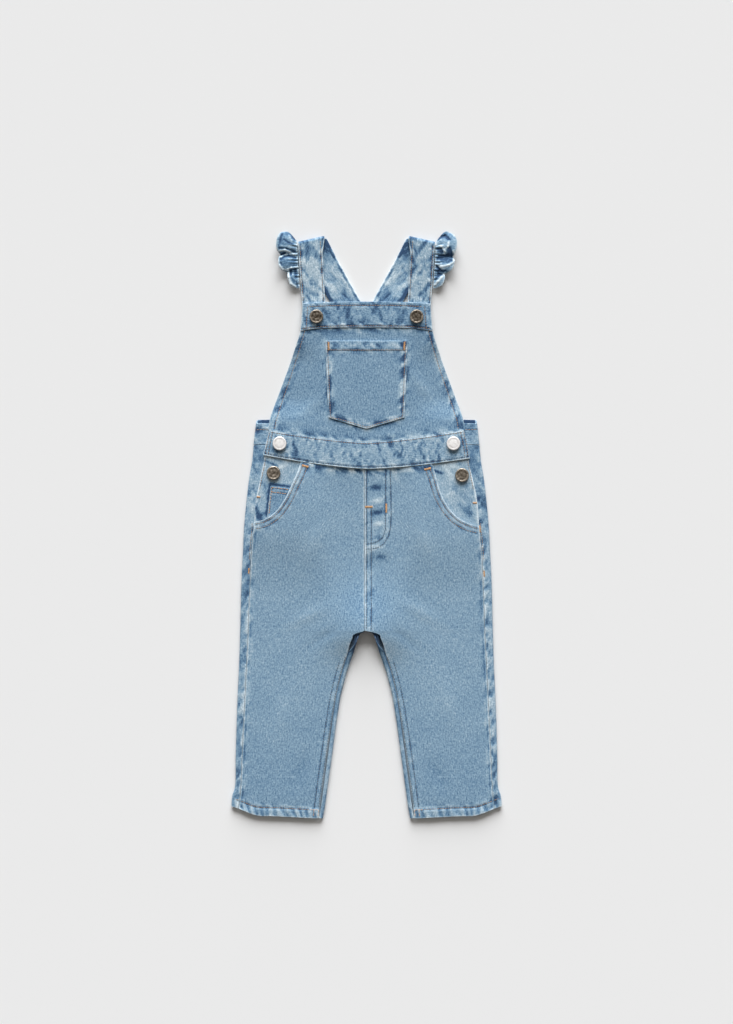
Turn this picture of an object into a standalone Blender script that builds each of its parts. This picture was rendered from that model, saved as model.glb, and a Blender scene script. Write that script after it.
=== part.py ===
# A baby's denim dungarees with ruffled shoulder straps, laid flat with the front up.
# The back lies on z = 0 and the straps point along +Y. Sizes are in millimetres, made metres
# by MM. "Left" is -X. Half widths are distances from the middle, mirrored by the side, -1 or 1.

import math

import bmesh
import bpy
import numpy as np

MM = 0.001

# Driving dimensions
WALL = 1.0  # one layer of denim
DOUBLE = 1.6  # a folded band
STRAP_WALL = 2.0
GAP = 0.3  # between pieces that are sewn or lie together
FOLD_RADIUS = 2.3  # outside of the rolled side folds, so the flattened legs are 4.6 thick
LEG_TOP = 2 * FOLD_RADIUS
HEM_DEPTH = 10.0
HEM_RAISE = 0.5
HEM_LINE = -315.0
BAND_SEAM = 88.0  # where the back panels meet the back band
BACK_TOP = 115.0
CENTRE_SEAM = -2.0  # the mock fly's folded edge, a little left of the middle
FLY_RAISE = 0.7
POCKET_RAISE = 2.6  # lifts the front legs' pocket edges over the facings
COIN_RAISE = 1.3
FACING_UNDER = LEG_TOP + GAP
WAISTBAND_UNDER = 5.2
WAISTBAND_WALL = 2.4
BIB_UNDER = 5.0
BIB_DROOP = 3.2
BAND_WALL = 2.2
BUTTON_SEGMENTS = 16
LEFT, RIGHT = -1, 1

DENIM = (0.235, 0.345, 0.445)
DENIM_DARK = (0.185, 0.29, 0.39)
DENIM_PALE = (0.30, 0.42, 0.52)
AGED_METAL = (0.30, 0.27, 0.23)
BRIGHT_METAL = (0.75, 0.74, 0.72)


def table(columns, *rows):
    values = np.array(rows, float)
    return {name: values[:, i] for i, name in enumerate(columns.split())}


# Outlines, from the hem up, in half widths
LEGS = table(
    "y outer seam inner front",
    (-315, 146.0, 138.0, 47.0, 51.6),
    (-301, 145.0, 136.5, 44.5, 50.4),
    (-288, 142.6, 135.8, 42.8, 48.6),
    (-248, 141.3, 134.0, 37.3, 43.2),
    (-210, 140.2, 132.3, 32.2, 37.6),
    (-183, 139.2, 131.0, 28.0, 33.0),
    (-159, 138.0, 129.8, 21.8, 27.4),
    (-143, 137.4, 129.0, 16.4, 22.6),
    (-135, 137.1, 128.6, 13.6, 20.0),
    (-127, 136.8, 128.2, 11.2, 17.4),
    (-121, 136.7, 127.9, 9.0, 14.0),
    (-117, 136.6, 127.7, 6.0, 9.6),
    (-112, 136.4, 127.5, 0.15, 0.15),
    (-60, 135.1, 125.6, 0.15, 0.15),
    (-28, 133.5, 124.0, 0.15, 0.15),
    (-2, 132.3, 121.6, 0.15, 0.15),
    (24, 130.0, 119.8, 0.15, 0.15),
    (50, 127.0, 115.2, 0.15, 0.15),
    (72, 123.4, 111.0, 0.15, 0.15),
    (93, 121.5, 108.6, 0.15, 0.15),
    (120, 118.6, 106.0, 0.15, 0.15),
)
# The back panel's inner edge: how far it has turned up, in degrees, and its reach past the turn
INNER_TURN = table(
    "y turn flap",
    (-315, 180, 2.0),
    (-183, 180, 2.4),
    (-135, 180, 3.6),
    (-127, 135, 0.5),
    (-121, 90, 0.5),
    (-117, 40, 1.2),
    (-112, 0, 2.0),
    (120, 0, 2.0),
)
# How far the back panel's edge on top passes under the front's seam: beside the front panel,
# then under the facing's side opening
SIDE_LAP = table(
    "y lap",
    (-315, -0.35),
    (-12, -0.35),
    (-7, 0.3),
    (8, 12.0),
    (120, 12.0),
)
POCKET_CURVE = table(
    "x left right",
    (70.4, 68.2, 65.0),
    (74.0, 59.1, 55.5),
    (79.5, 47.5, 37.5),
    (87.0, 31.5, 22.5),
    (95.0, 19.2, 12.7),
    (103.7, 11.3, 6.2),
    (111.3, 7.2, 2.8),
    (120.5, 5.1, 0.5),
)
BIB_SIDES = table(
    "y half",
    (90, 107.0),
    (113, 103.8),
    (126, 99.9),
    (147, 92.9),
    (169, 85.4),
    (191, 78.3),
    (214, 71.5),
    (243, 68.8),
)
# Soft creases: the middle, length, width and height of each, and its turn from +X in degrees
FRONT_CREASES = table(
    "x y long wide high turn",
    (-62, -96, 60, 16, 0.5, 24),
    (-44, -118, 48, 12, -0.45, 35),
    (-92, -208, 74, 22, 0.5, 82),
    (-70, -262, 50, 18, -0.4, 70),
    (-58, -20, 64, 20, 0.4, 62),
    (58, -92, 62, 16, 0.5, -28),
    (40, -120, 46, 12, -0.45, -38),
    (88, -190, 80, 22, 0.5, -80),
    (76, -268, 46, 18, -0.4, -66),
    (62, -14, 58, 20, 0.4, -66),
)
BIB_CREASES = table(
    "x y long wide high turn",
    (-62, 128, 44, 14, 0.4, 40),
    (60, 150, 52, 14, 0.4, -52),
    (-74, 176, 30, 10, -0.3, 62),
    (20, 98, 60, 12, 0.3, 4),
)
# The strap: its two edges, the height of its middle, as half widths. The left strap crosses
# under the right one, whose middle is "over"
STRAP = table(
    "outer outer_y inner inner_y under over",
    (67.3, 216.0, 43.0, 219.0, 3.7, 3.7),
    (68.8, 232.0, 44.0, 235.0, 3.7, 3.7),
    (70.2, 250.0, 45.2, 254.0, 3.9, 3.9),
    (71.8, 272.0, 46.4, 277.0, 4.5, 4.5),
    (73.0, 290.0, 47.4, 295.0, 5.1, 5.1),
    (73.6, 304.2, 48.1, 309.6, 5.4, 5.4),
    (73.6, 304.2, 48.1, 309.6, 1.0, 1.0),
    (62.8, 285.0, 37.3, 290.4, 1.0, 1.0),
    (48.7, 260.0, 23.2, 265.4, 1.0, 1.0),
    (34.6, 235.0, 9.1, 240.4, 1.0, 2.6),
    (23.4, 215.0, -2.1, 220.4, 1.0, 3.3),
    (3.7, 180.0, -21.8, 185.4, 1.0, 3.3),
    (-10.3, 155.0, -35.8, 160.4, 1.0, 2.6),
    (-22.8, 133.0, -48.2, 138.4, 1.2, 1.2),
    (-30.0, 120.0, -55.5, 124.0, 2.9, 2.9),
    (-39.0, 104.0, -64.0, 106.0, 2.9, 2.9),
)
SHOULDER_ROW = 5  # the row of the strap's table where the fold starts
SHOULDER_SEGMENTS = 6
# The ruffle, along the strap's outer edge: the seam, the direction that it points in, from
# outwards towards the shoulder, its depth, the height of its free edge and of its waves
RUFFLE = table(
    "along x y z turn reach lift wave",
    (0.00, 71.6, 257.0, 4.0, 0, 2.5, 4.0, 0.3),
    (0.08, 72.0, 263.0, 4.2, -4, 12.5, 5.4, 1.8),
    (0.18, 72.6, 272.0, 4.5, -4, 16.0, 6.6, 2.8),
    (0.30, 73.3, 282.0, 4.8, -3, 21.0, 7.0, 3.2),
    (0.43, 73.9, 293.0, 5.2, 0, 22.5, 7.2, 3.4),
    (0.55, 74.3, 302.5, 5.4, 8, 23.5, 7.2, 3.4),
    (0.64, 74.8, 306.2, 4.7, 30, 20.5, 6.2, 2.4),
    (0.71, 75.0, 307.2, 3.2, 36, 17.5, 4.2, 1.4),
    (0.78, 74.8, 305.0, 1.4, 18, 18.5, 1.2, 0.35),
    (0.85, 71.6, 299.8, 1.0, -10, 19.0, 1.0, 0.3),
    (0.93, 62.2, 283.2, 1.0, -29, 18.0, 1.0, 0.3),
    (1.00, 53.6, 267.8, 1.0, -29, 3.0, 1.0, 0.1),
)
RUFFLE_WAVES = 9
BUTTONS = table("x y", (54.0, 226.2), (93.6, 89.5), (101.6, 56.5))
BUTTON_NAMES = ("bib", "waist", "hip")
# Half the turned section of a button: a shank, a rounded back, a raised rim and a dimple
BUTTON_PROFILE = table(
    "radius height",
    (3.0, 0.0),
    (3.0, 0.8),
    (6.4, 0.9),
    (7.5, 1.7),
    (7.2, 2.5),
    (6.2, 2.8),
    (5.0, 2.2),
    (3.4, 2.3),
    (2.2, 2.9),
    (1.0, 2.4),
)


def smoothRead(columns, key, name, at):
    """The column as a smooth curve of the key column."""
    x, y = columns[key], columns[name]
    slopes = np.gradient(y, x)
    at = np.clip(np.asarray(at, float), x[0], x[-1])
    k = np.clip(np.searchsorted(x, at, side="right") - 1, 0, len(x) - 2)
    step = x[k + 1] - x[k]
    t = (at - x[k]) / step
    return (
        (2 * t**3 - 3 * t**2 + 1) * y[k]
        + (t**3 - 2 * t**2 + t) * step * slopes[k]
        + (3 * t**2 - 2 * t**3) * y[k + 1]
        + (t**3 - t**2) * step * slopes[k + 1]
    )


def read(columns, key, name, at):
    """The column as straight stretches, for places where a smooth curve would overshoot."""
    return np.interp(at, columns[key], columns[name])


def ease(value, start, end):
    """0 before start, 1 after end, smooth between."""
    t = np.clip((value - start) / (end - start), 0, 1)
    return t * t * (3 - 2 * t)


def creases(rows, x, y):
    """The height that the soft creases add at x, y."""
    total = np.zeros(np.broadcast(x, y).shape)
    for i in range(len(rows["x"])):
        turn = math.radians(rows["turn"][i])
        dx, dy = x - rows["x"][i], y - rows["y"][i]
        along = dx * math.cos(turn) + dy * math.sin(turn)
        across = dy * math.cos(turn) - dx * math.sin(turn)
        fall = (2 * along / rows["long"][i]) ** 2 + (2 * across / rows["wide"][i]) ** 2
        total = total + rows["high"][i] * np.exp(-1.5 * fall)
    return total


def material(name, colour, roughness, metallic):
    made = bpy.data.materials.new(name)
    made.use_nodes = True
    shader = made.node_tree.nodes["Principled BSDF"]
    shader.inputs["Base Color"].default_value = (*colour, 1.0)
    shader.inputs["Roughness"].default_value = roughness
    shader.inputs["Metallic"].default_value = metallic
    made.diffuse_color = (*colour, 1.0)
    return made


def finish(name, bm, colour, roughness=0.9, metallic=0.0, sharp=40):
    """Makes the object from the bmesh, whose points are in millimetres."""
    bmesh.ops.scale(bm, vec=(MM, MM, MM), verts=bm.verts)
    bmesh.ops.recalc_face_normals(bm, faces=bm.faces)
    mesh = bpy.data.meshes.new(name)
    bm.to_mesh(mesh)
    bm.free()
    mesh.shade_smooth()
    mesh.set_sharp_from_angle(angle=math.radians(sharp))
    mesh.materials.append(material(name, colour, roughness, metallic))
    made = bpy.data.objects.new(name, mesh)
    bpy.context.scene.collection.objects.link(made)
    return made


def cloth(name, outside, inside, colour):
    """A wall of cloth between two grids of points, each indexed by row, column and axis."""
    rows, columns = outside.shape[0] - 1, outside.shape[1] - 1
    bm = bmesh.new()
    bmesh.ops.create_grid(bm, x_segments=columns, y_segments=rows, size=0.5)
    places = {v: (round((v.co.y + 0.5) * rows), round((v.co.x + 0.5) * columns)) for v in bm.verts}
    made = bmesh.ops.extrude_face_region(bm, geom=bm.faces[:])
    for v in made["geom"]:
        if isinstance(v, bmesh.types.BMVert):
            v.co = inside[round((v.co.y + 0.5) * rows), round((v.co.x + 0.5) * columns)]
    for v, place in places.items():
        v.co = outside[place]
    return finish(name, bm, colour)


def points(x, y, z):
    return np.stack(np.broadcast_arrays(x, y, z), axis=-1).astype(float)


def lowered(top, depth):
    """The grid moved down, for the underside of a flat piece."""
    return top - np.array((0.0, 0.0, 1.0)) * np.asarray(depth)[..., None]


# Lines that the flat front pieces share
def waistLow(x):
    """The waistband's lower edge."""
    return 62.0 + 13.0 * (np.abs(x) / 111) ** 1.5 - 0.016 * x


def waistHigh(x):
    """The waistband's top seam."""
    return 90.8 + 12.6 * (np.abs(x) / 104) ** 1.4


def hemRise(x):
    """How far the hem climbs towards the outer corner."""
    half = np.abs(x)
    return 2.4 * ease(half, 50, 110) + 11.0 * ease(half, 112, 152)


def pocketCurve(side, x):
    return smoothRead(POCKET_CURVE, "x", "left" if side == LEFT else "right", np.abs(x))


def frontTop(side, x, y):
    """The height of the front panel's upper surface."""
    half = np.abs(x)
    inner = smoothRead(LEGS, "y", "front", np.minimum(y, -112))
    outer = smoothRead(LEGS, "y", "seam", y)
    across = np.clip((half - inner) / (outer - inner), 0, 1)
    fullness = 0.7 * np.sin(math.pi * across) * ease(y, -318, -290) * ease(-y, -62, -20)
    lift = POCKET_RAISE * ease(half, 40, 58) * ease(y, -30, -8)
    if side == LEFT:
        lift = lift + COIN_RAISE * ease(half, 62, 76) * ease(y, -8, 6) * ease(-y, -66, -52)
    waist = 0.6 * ease(y, 30, 60) * (1 - ease(half, 40, 58))
    hem = HEM_RAISE * ease(-y, -HEM_LINE - HEM_DEPTH - 1, -HEM_LINE - HEM_DEPTH + 1)
    fly = FLY_RAISE * (1 - ease(half, 24, 27)) * ease(y, -40, -26) if side == RIGHT else 0.0
    return LEG_TOP + fullness + lift + waist + hem + fly + creases(FRONT_CREASES, x, y)


def bibUnder(x, y):
    """The underside of the bib, which droops beside the straps that lie under it."""
    droop = BIB_DROOP * ease(np.abs(x), 46, 82) * ease(y, 112, 140) * ease(-y, -206, -176)
    sag = 0.5 * ease(np.abs(x), 30, 60) * ease(y, 100, 130) * ease(-y, -200, -170)
    return BIB_UNDER - droop - sag + creases(BIB_CREASES, x, y) + 0.3 * ease(-y, -120, -92)


# Pieces
def backSection(outer, edge, inner, turn, flap):
    """One row of a back panel, from its edge on top, round the side, to its inner edge.

    Returns the outer points and their outward directions, as (half width, height)."""
    centre = outer - FOLD_RADIUS
    arcs = math.pi * FOLD_RADIUS
    turned = math.radians(turn)
    swing = FOLD_RADIUS if turn >= 180 else arcs / max(turned, 1e-3)
    reach = arcs if turn == 0 else swing * (math.sin(turned) if turn < 90 else 1.0)
    past = flap * math.cos(turned) if turn < 90 else 0.0
    start = inner + reach + past
    spots, ways = [], []
    for t in (0.0, 0.5):
        spots.append((edge + (centre - edge) * t, LEG_TOP))
        ways.append((0.0, 1.0))
    for step in range(7):
        angle = math.pi / 2 - math.pi * step / 6
        ways.append((math.cos(angle), math.sin(angle)))
        spots.append((centre + FOLD_RADIUS * ways[-1][0], FOLD_RADIUS * (1 + ways[-1][1])))
    for t in (0.25, 0.5, 0.75):
        spots.append((centre + (start - centre) * t, 0.0))
        ways.append((0.0, -1.0))
    for step in range(7):
        swept = turned * step / 6
        way = (-math.sin(swept), -math.cos(swept))
        if turn == 0:
            spots.append((start - arcs * step / 6, 0.0))
        else:
            spots.append((start + swing * way[0], swing * (1 + way[1])))
        ways.append(way)
    end = (-math.cos(turned), math.sin(turned))
    last = spots[-1]
    for t in (0.5, 1.0):
        spots.append((last[0] + end[0] * flap * t, last[1] + end[1] * flap * t))
        ways.append(ways[-1])
    return np.array(spots), np.array(ways)


def backLeg(name, side):
    levels = (-315, -310, -306, -303, -288, -262, -235, -209, -183, -159, -143, -135)
    levels += (-127, -121, -117, -112, -85, -45, -12, -7, 0, 8, 24, 45, 66, BAND_SEAM - GAP)
    outside, inside = [], []
    for y in levels:
        outer = float(smoothRead(LEGS, "y", "outer", y))
        inner = float(read(LEGS, "y", "inner", y))
        edge = float(smoothRead(LEGS, "y", "seam", y) - read(SIDE_LAP, "y", "lap", y))
        turn = float(read(INNER_TURN, "y", "turn", y))
        flap = float(read(INNER_TURN, "y", "flap", y))
        spots, ways = backSection(outer, edge, inner, turn, flap)
        hem = HEM_RAISE * float(ease(-y, -HEM_LINE - HEM_DEPTH - 1, -HEM_LINE - HEM_DEPTH + 1))
        raised = spots + ways * np.where(ways[:, 1:] > 0.2, hem, 0.0)
        low = float(ease(-y, 270, 313))
        rise = hemRise(spots[:, 0]) * low
        outside.append(points(side * raised[:, 0], y + rise, raised[:, 1]))
        within = spots - WALL * ways
        inside.append(points(side * within[:, 0], y + rise, within[:, 1]))
    return cloth(name, np.array(outside), np.array(inside), DENIM)


def backBand():
    outside, inside = [], []
    for t in (0.0, 0.35, 0.65, 1.0):
        y = BAND_SEAM + (BACK_TOP - BAND_SEAM) * t
        outer = float(smoothRead(LEGS, "y", "outer", y))
        edge = float(smoothRead(LEGS, "y", "seam", y) - read(SIDE_LAP, "y", "lap", y))
        spots, ways = backSection(outer, edge, 0.0, 0, 2.0)
        sideOnly = spots[:, 0] > 20
        spots, ways = spots[sideOnly], ways[sideOnly]
        middle = np.array([(0.0, 0.0)])
        within = spots - DOUBLE * ways
        row = np.concatenate([spots * (-1, 1), middle, spots[::-1]])
        under = np.concatenate([within * (-1, 1), middle + (0, DOUBLE), within[::-1]])
        hollow = 3.0 * (1 - np.abs(row[:, 0]) / 120) - 4.0 * row[:, 1] / LEG_TOP
        level = y + hollow * t**2
        outside.append(points(row[:, 0], level, row[:, 1]))
        inside.append(points(under[:, 0], level, under[:, 1]))
    return cloth("back_band", np.array(outside), np.array(inside), DENIM_DARK)


def frontLeg(name, side):
    """The front panel: rows up to the pocket, then rows that fan from the fly to its edge."""
    seam = CENTRE_SEAM + side * GAP / 2
    columns = np.linspace(0, 1, 13)
    rows = []
    for y in (-315, -310, -306, -303, -288, -262, -235, -209, -183, -159, -143, -135, -127):
        rows.append((y, y))
    rows += [(-121, -121), (-117, -117), (-112, -112), (-85, -85), (-55, -55), (-26, -26)]
    top = []
    for inner, outer in rows:
        start = float(read(LEGS, "y", "front", inner))
        if inner >= -112:
            start = side * seam
        end = float(read(LEGS, "y", "seam", outer))
        half = start + (end - start) * columns
        level = inner + hemRise(half) * float(ease(-inner, 270, 313))
        top.append(points(side * half, level, 0.0))
    curve = POCKET_CURVE["x"][::-1]
    starts = np.linspace(-10, 40, len(curve) - 1)
    for start, outer in zip(starts, curve):
        edge = float(pocketCurve(side, outer))
        half = side * seam + (outer - side * seam) * columns
        top.append(points(side * half, start + (edge - start) * columns**1.3, 0.0))
    half = side * seam + (curve[-1] - side * seam) * columns
    top.append(points(side * half, waistLow(side * half) - GAP, 0.0))
    top = np.array(top)
    top[..., 2] = frontTop(side, top[..., 0], top[..., 1])
    return cloth(name, top, lowered(top, np.full(top.shape[:2], WALL)), DENIM)


def facing(name, side):
    levels = np.array((-3, 2, 8, 16, 26, 38, 50, 62, 80))
    side_edge = smoothRead(LEGS, "y", "seam", levels)
    curve = POCKET_CURVE["x"][::-1]
    heights = POCKET_CURVE["left" if side == LEFT else "right"][::-1]
    inner = np.interp(levels, heights, curve) - 10
    columns = np.linspace(0, 1, 5)
    half = inner[:, None] + (side_edge - inner)[:, None] * columns
    y = np.broadcast_to(levels[:, None], half.shape).astype(float)
    y[-1] = waistLow(side * half[-1]) - GAP
    top = points(side * half, y, FACING_UNDER + WALL)
    return cloth(name, top, lowered(top, np.full(top.shape[:2], WALL)), DENIM_PALE)


def coinPocket():
    rows = table("y outer inner", (10, 107.0, 99.0), (20, 106.0, 88.0), (32, 104.6, 80.5),
                 (40, 103.7, 78.0), (43.5, 103.4, 78.0))
    columns = np.linspace(0, 1, 4)
    half = rows["outer"][:, None] + (rows["inner"] - rows["outer"])[:, None] * columns
    y = rows["y"][:, None] - 3.0 * columns
    top = points(-half, y, FACING_UNDER + 2 * WALL + GAP)
    return cloth("coin_pocket", top, lowered(top, np.full(top.shape[:2], WALL)), DENIM_PALE)


def waistband():
    across = np.linspace(-1, 1, 25)
    top = []
    for t in (0.0, 0.08, 0.5, 0.92, 1.0):
        half = 111.5 + (105.0 - 111.5) * t
        x = across * half
        y = waistLow(x) + (waistHigh(x) - waistLow(x)) * t
        edge = 0.3 * math.sin(math.pi * t)
        ripple = 0.2 * np.sin(x / 5.5) * np.sin(math.pi * t)
        top.append(points(x, y, WAISTBAND_UNDER + WAISTBAND_WALL + edge + ripple))
    top = np.array(top)
    under = top.copy()
    under[..., 2] = WAISTBAND_UNDER
    return cloth("waistband_front", top, under, DENIM_PALE)


def bib():
    across = np.linspace(-1, 1, 17)
    top = []
    for t in np.linspace(0, 1, 11):
        level = 98.0 + (214.2 - 98.0) * t
        x = across * float(read(BIB_SIDES, "y", "half", level))
        low = waistHigh(x) + GAP
        high = 214.2 - 3.6 * np.abs(across) ** 4
        y = low + (high - low) * t
        top.append(points(x, y, bibUnder(x, y) + WALL))
    top = np.array(top)
    return cloth("bib", top, lowered(top, np.full(top.shape[:2], WALL)), DENIM)


def bibBand():
    across = np.linspace(-1, 1, 13)
    top = []
    for t in (0.0, 0.1, 0.5, 0.9, 1.0):
        x = across * (71.2 - 2.4 * t)
        y = 214.5 - 3.6 * np.abs(across) ** 4 * (1 - t) + 28.0 * t - 2.0 * np.abs(across) ** 3 * t
        top.append(points(x, y, BIB_UNDER + BAND_WALL + 0.25 * math.sin(math.pi * t)))
    top = np.array(top)
    under = top.copy()
    under[..., 2] = BIB_UNDER
    return cloth("bib_band", top, under, DENIM_DARK)


def bibPocket():
    across = np.linspace(-1, 1, 11)
    top = []
    for t in (0.0, 0.25, 0.5, 0.75, 0.88, 0.9, 1.0):
        x = across * (41.0 + 3.3 * t)
        low = 117.5 - 12.4 * (1 - np.abs(across))
        y = low + (200.3 - low) * t
        hem = 0.4 * float(ease(t, 0.885, 0.9))
        top.append(points(x, y, bibUnder(x, y) + 2 * WALL + GAP + hem))
    top = np.array(top)
    under = top.copy()
    under[..., 2] = bibUnder(top[..., 0], top[..., 1]) + WALL + GAP
    return cloth("bib_pocket", top, under, DENIM_DARK)


def strap(name, side):
    """A flat strip that folds over the shoulder and passes across the back."""
    middle = "under" if side == LEFT else "over"
    rows = []
    for i in range(len(STRAP["outer"])):
        outer = np.array((STRAP["outer"][i], STRAP["outer_y"][i]))
        inner = np.array((STRAP["inner"][i], STRAP["inner_y"][i]))
        rows.append((outer, inner, STRAP[middle][i]))
    front, back = rows[: SHOULDER_ROW + 1], rows[SHOULDER_ROW + 1 :]
    outer, inner, high = front[-1]
    low = back[0][2]
    radius = (high - low) / 2
    line = (outer - inner) / np.linalg.norm(outer - inner)
    up = np.array((line[1], -line[0]))
    up = up if up[1] > 0 else -up
    lines = []
    for edges in (front, back):
        turned = 1.0 if edges is front else -1.0
        for a, b, z in edges:
            lines.append((a, b, z, np.array((0.0, 0.0, turned))))
    bend = []
    for step in range(1, SHOULDER_SEGMENTS):
        angle = math.pi / 2 - math.pi * step / SHOULDER_SEGMENTS
        out = up * radius * math.cos(angle)
        way = np.array((up[0] * math.cos(angle), up[1] * math.cos(angle), math.sin(angle)))
        bend.append((outer + out, inner + out, low + radius * (1 + math.sin(angle)), way))
    lines[len(front) : len(front)] = bend
    outside, inside = [], []
    for a, b, z, way in lines:
        spots = [(a + (b - a) * t) for t in (0.0, 0.1, 0.5, 0.9, 1.0)]
        centre = np.array([(side * s[0], s[1], z) for s in spots])
        way = way * (side, 1, 1) * STRAP_WALL / 2
        outside.append(centre + way)
        inside.append(centre - way)
    return cloth(name, np.array(outside), np.array(inside), DENIM_PALE)


def ruffle(name, side):
    along = np.linspace(0, 1, 6 * RUFFLE_WAVES + 1)
    place = {k: smoothRead(RUFFLE, "along", k, along) for k in RUFFLE}
    turn = np.radians(place["turn"])
    wave = np.sin(2 * math.pi * RUFFLE_WAVES * along + 0.6)
    middle = []
    for t in (0.0, 0.3, 0.65, 1.0):
        x = place["x"] + GAP + place["reach"] * t * np.cos(turn)
        y = place["y"] + place["reach"] * t * np.sin(turn)
        z = place["z"] + (place["lift"] - place["z"]) * t + place["wave"] * wave * t
        middle.append(points(side * x, y, z))
    middle = np.array(middle)
    run = np.gradient(middle, axis=1)
    out = np.gradient(middle, axis=0)
    ways = np.cross(run, out)
    ways /= np.linalg.norm(ways, axis=2, keepdims=True)
    return cloth(name, middle + ways * WALL / 2, middle - ways * WALL / 2, DENIM)


def button(name, x, y, z, colour):
    bm = bmesh.new()
    profile = [(0.0, 0.0), *zip(BUTTON_PROFILE["radius"], BUTTON_PROFILE["height"])]
    profile.append((0.0, BUTTON_PROFILE["height"][-1] - 0.2))
    verts = [bm.verts.new((radius, 0.0, height)) for radius, height in profile]
    edges = [bm.edges.new(pair) for pair in zip(verts, verts[1:])]
    bmesh.ops.spin(bm, geom=verts + edges, cent=(0, 0, 0), axis=(0, 0, 1), angle=math.tau,
                   steps=BUTTON_SEGMENTS, use_merge=True)
    bmesh.ops.remove_doubles(bm, verts=bm.verts, dist=0.01)
    made = finish(name, bm, colour, roughness=0.35, metallic=1.0, sharp=30)
    made.location = (x * MM, y * MM, z * MM)
    return made


def main():
    for old in list(bpy.data.objects):
        bpy.data.objects.remove(old, do_unlink=True)
    backBand()
    waistband()
    bib()
    bibBand()
    bibPocket()
    coinPocket()
    for side, letter in ((LEFT, "l"), (RIGHT, "r")):
        backLeg(f"back_leg_{letter}", side)
        frontLeg(f"front_leg_{letter}", side)
        facing(f"hip_facing_{letter}", side)
        strap(f"strap_{letter}", side)
        ruffle(f"ruffle_{letter}", side)
        seats = (BIB_UNDER + BAND_WALL + 0.25, WAISTBAND_UNDER + WAISTBAND_WALL + 0.5,
                 FACING_UNDER + WALL)
        for i, kind in enumerate(BUTTON_NAMES):
            colour = BRIGHT_METAL if kind == "waist" else AGED_METAL
            x, y = side * BUTTONS["x"][i], BUTTONS["y"][i]
            button(f"button_{kind}_{letter}", x, y, seats[i] + GAP, colour)


main()
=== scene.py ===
# Baby's denim dungarees with ruffled straps, laid flat, seen from straight above.
# Lengths in the tables are millimetres; "side" is -1 for the photograph's left and 1 for its right.
import math

import bmesh
import bpy
import numpy as np
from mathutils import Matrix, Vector
from mathutils.bvhtree import BVHTree


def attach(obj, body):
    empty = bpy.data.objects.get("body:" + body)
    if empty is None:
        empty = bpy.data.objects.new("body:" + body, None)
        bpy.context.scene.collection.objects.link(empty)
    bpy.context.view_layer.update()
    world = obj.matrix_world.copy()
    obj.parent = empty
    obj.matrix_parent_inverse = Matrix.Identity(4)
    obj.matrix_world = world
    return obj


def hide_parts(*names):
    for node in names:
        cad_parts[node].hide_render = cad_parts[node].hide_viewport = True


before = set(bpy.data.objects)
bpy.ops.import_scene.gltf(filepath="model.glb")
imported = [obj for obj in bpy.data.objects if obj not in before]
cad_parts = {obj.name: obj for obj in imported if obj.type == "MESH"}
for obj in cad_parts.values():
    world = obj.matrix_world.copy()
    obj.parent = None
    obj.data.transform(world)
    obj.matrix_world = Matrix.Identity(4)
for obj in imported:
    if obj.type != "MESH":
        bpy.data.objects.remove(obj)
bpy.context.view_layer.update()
print("frame loaded:", len(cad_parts), "nodes")

mm = 0.001
left, right = -1, 1
letters = {left: "l", right: "r"}
garment = {
    "wall": 1.0,
    "double": 1.6,
    "strapWall": 2.0,
    "ruffleWall": 0.8,
    "gap": 0.3,
    "foldRadius": 2.3,
    "hemLine": -315.0,
    "hemDepth": 10.0,
    "bandSeam": 88.0,
    "backTop": 115.0,
    "centreSeam": -2.0,
    "pocketRaise": 2.6,
    "coinRaise": 1.3,
    "hemRaise": 0.5,
    "flyRaise": 0.7,
    "fullness": 0.7,
    "waistbandUnder": 5.2,
    "waistbandWall": 2.4,
    "bibUnder": 5.0,
    "bandWall": 2.2,
    "step": 1.7,
}
legTop = 2 * garment["foldRadius"]
facingTop = legTop + garment["gap"] + garment["wall"]
made = {}  # each finished cloth by name, with the tree of its outer face that stitches are laid on


def table(columns, *rows):
    values = np.array(rows, float)
    return {name: values[:, i] for i, name in enumerate(columns.split())}


legs = table(
    "y outer seam inner front",
    (-315, 146.0, 138.0, 47.0, 51.6),
    (-301, 145.0, 136.5, 44.5, 50.4),
    (-288, 142.6, 135.8, 42.8, 48.6),
    (-248, 141.3, 134.0, 37.3, 43.2),
    (-210, 140.2, 132.3, 32.2, 37.6),
    (-183, 139.2, 131.0, 28.0, 33.0),
    (-159, 138.0, 129.8, 21.8, 27.4),
    (-143, 137.4, 129.0, 16.4, 22.6),
    (-135, 137.1, 128.6, 13.4, 20.0),
    (-127, 136.8, 128.2, 11.2, 18.0),
    (-121, 136.7, 127.9, 9.4, 15.4),
    (-115.2, 136.5, 127.6, 7.2, 11.6),
    (-112, 136.4, 127.5, 0.15, 0.15),
    (-60, 135.1, 125.6, 0.15, 0.15),
    (-28, 133.5, 124.0, 0.15, 0.15),
    (-2, 132.3, 121.6, 0.15, 0.15),
    (24, 130.0, 119.8, 0.15, 0.15),
    (50, 127.0, 115.2, 0.15, 0.15),
    (72, 123.4, 111.0, 0.15, 0.15),
    (93, 121.5, 108.6, 0.15, 0.15),
    (120, 118.6, 106.0, 0.15, 0.15),
)
innerTurn = table(
    "y turn flap",
    (-315, 180, 2.0),
    (-183, 180, 2.4),
    (-135, 180, 3.6),
    (-127, 135, 0.5),
    (-121, 90, 0.5),
    (-117, 40, 1.2),
    (-112, 0, 2.0),
    (120, 0, 2.0),
)
sideLap = table("y lap", (-315, -0.35), (-12, -0.35), (-7, 0.3), (8, 12.0), (120, 12.0))
pocketRows = table(
    "x l r",
    (70.4, 68.2, 65.0),
    (74.0, 59.1, 55.5),
    (79.5, 47.5, 37.5),
    (87.0, 31.5, 22.5),
    (95.0, 19.2, 12.7),
    (103.7, 11.3, 6.2),
    (111.3, 7.2, 2.8),
    (120.5, 5.1, 0.5),
)
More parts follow.
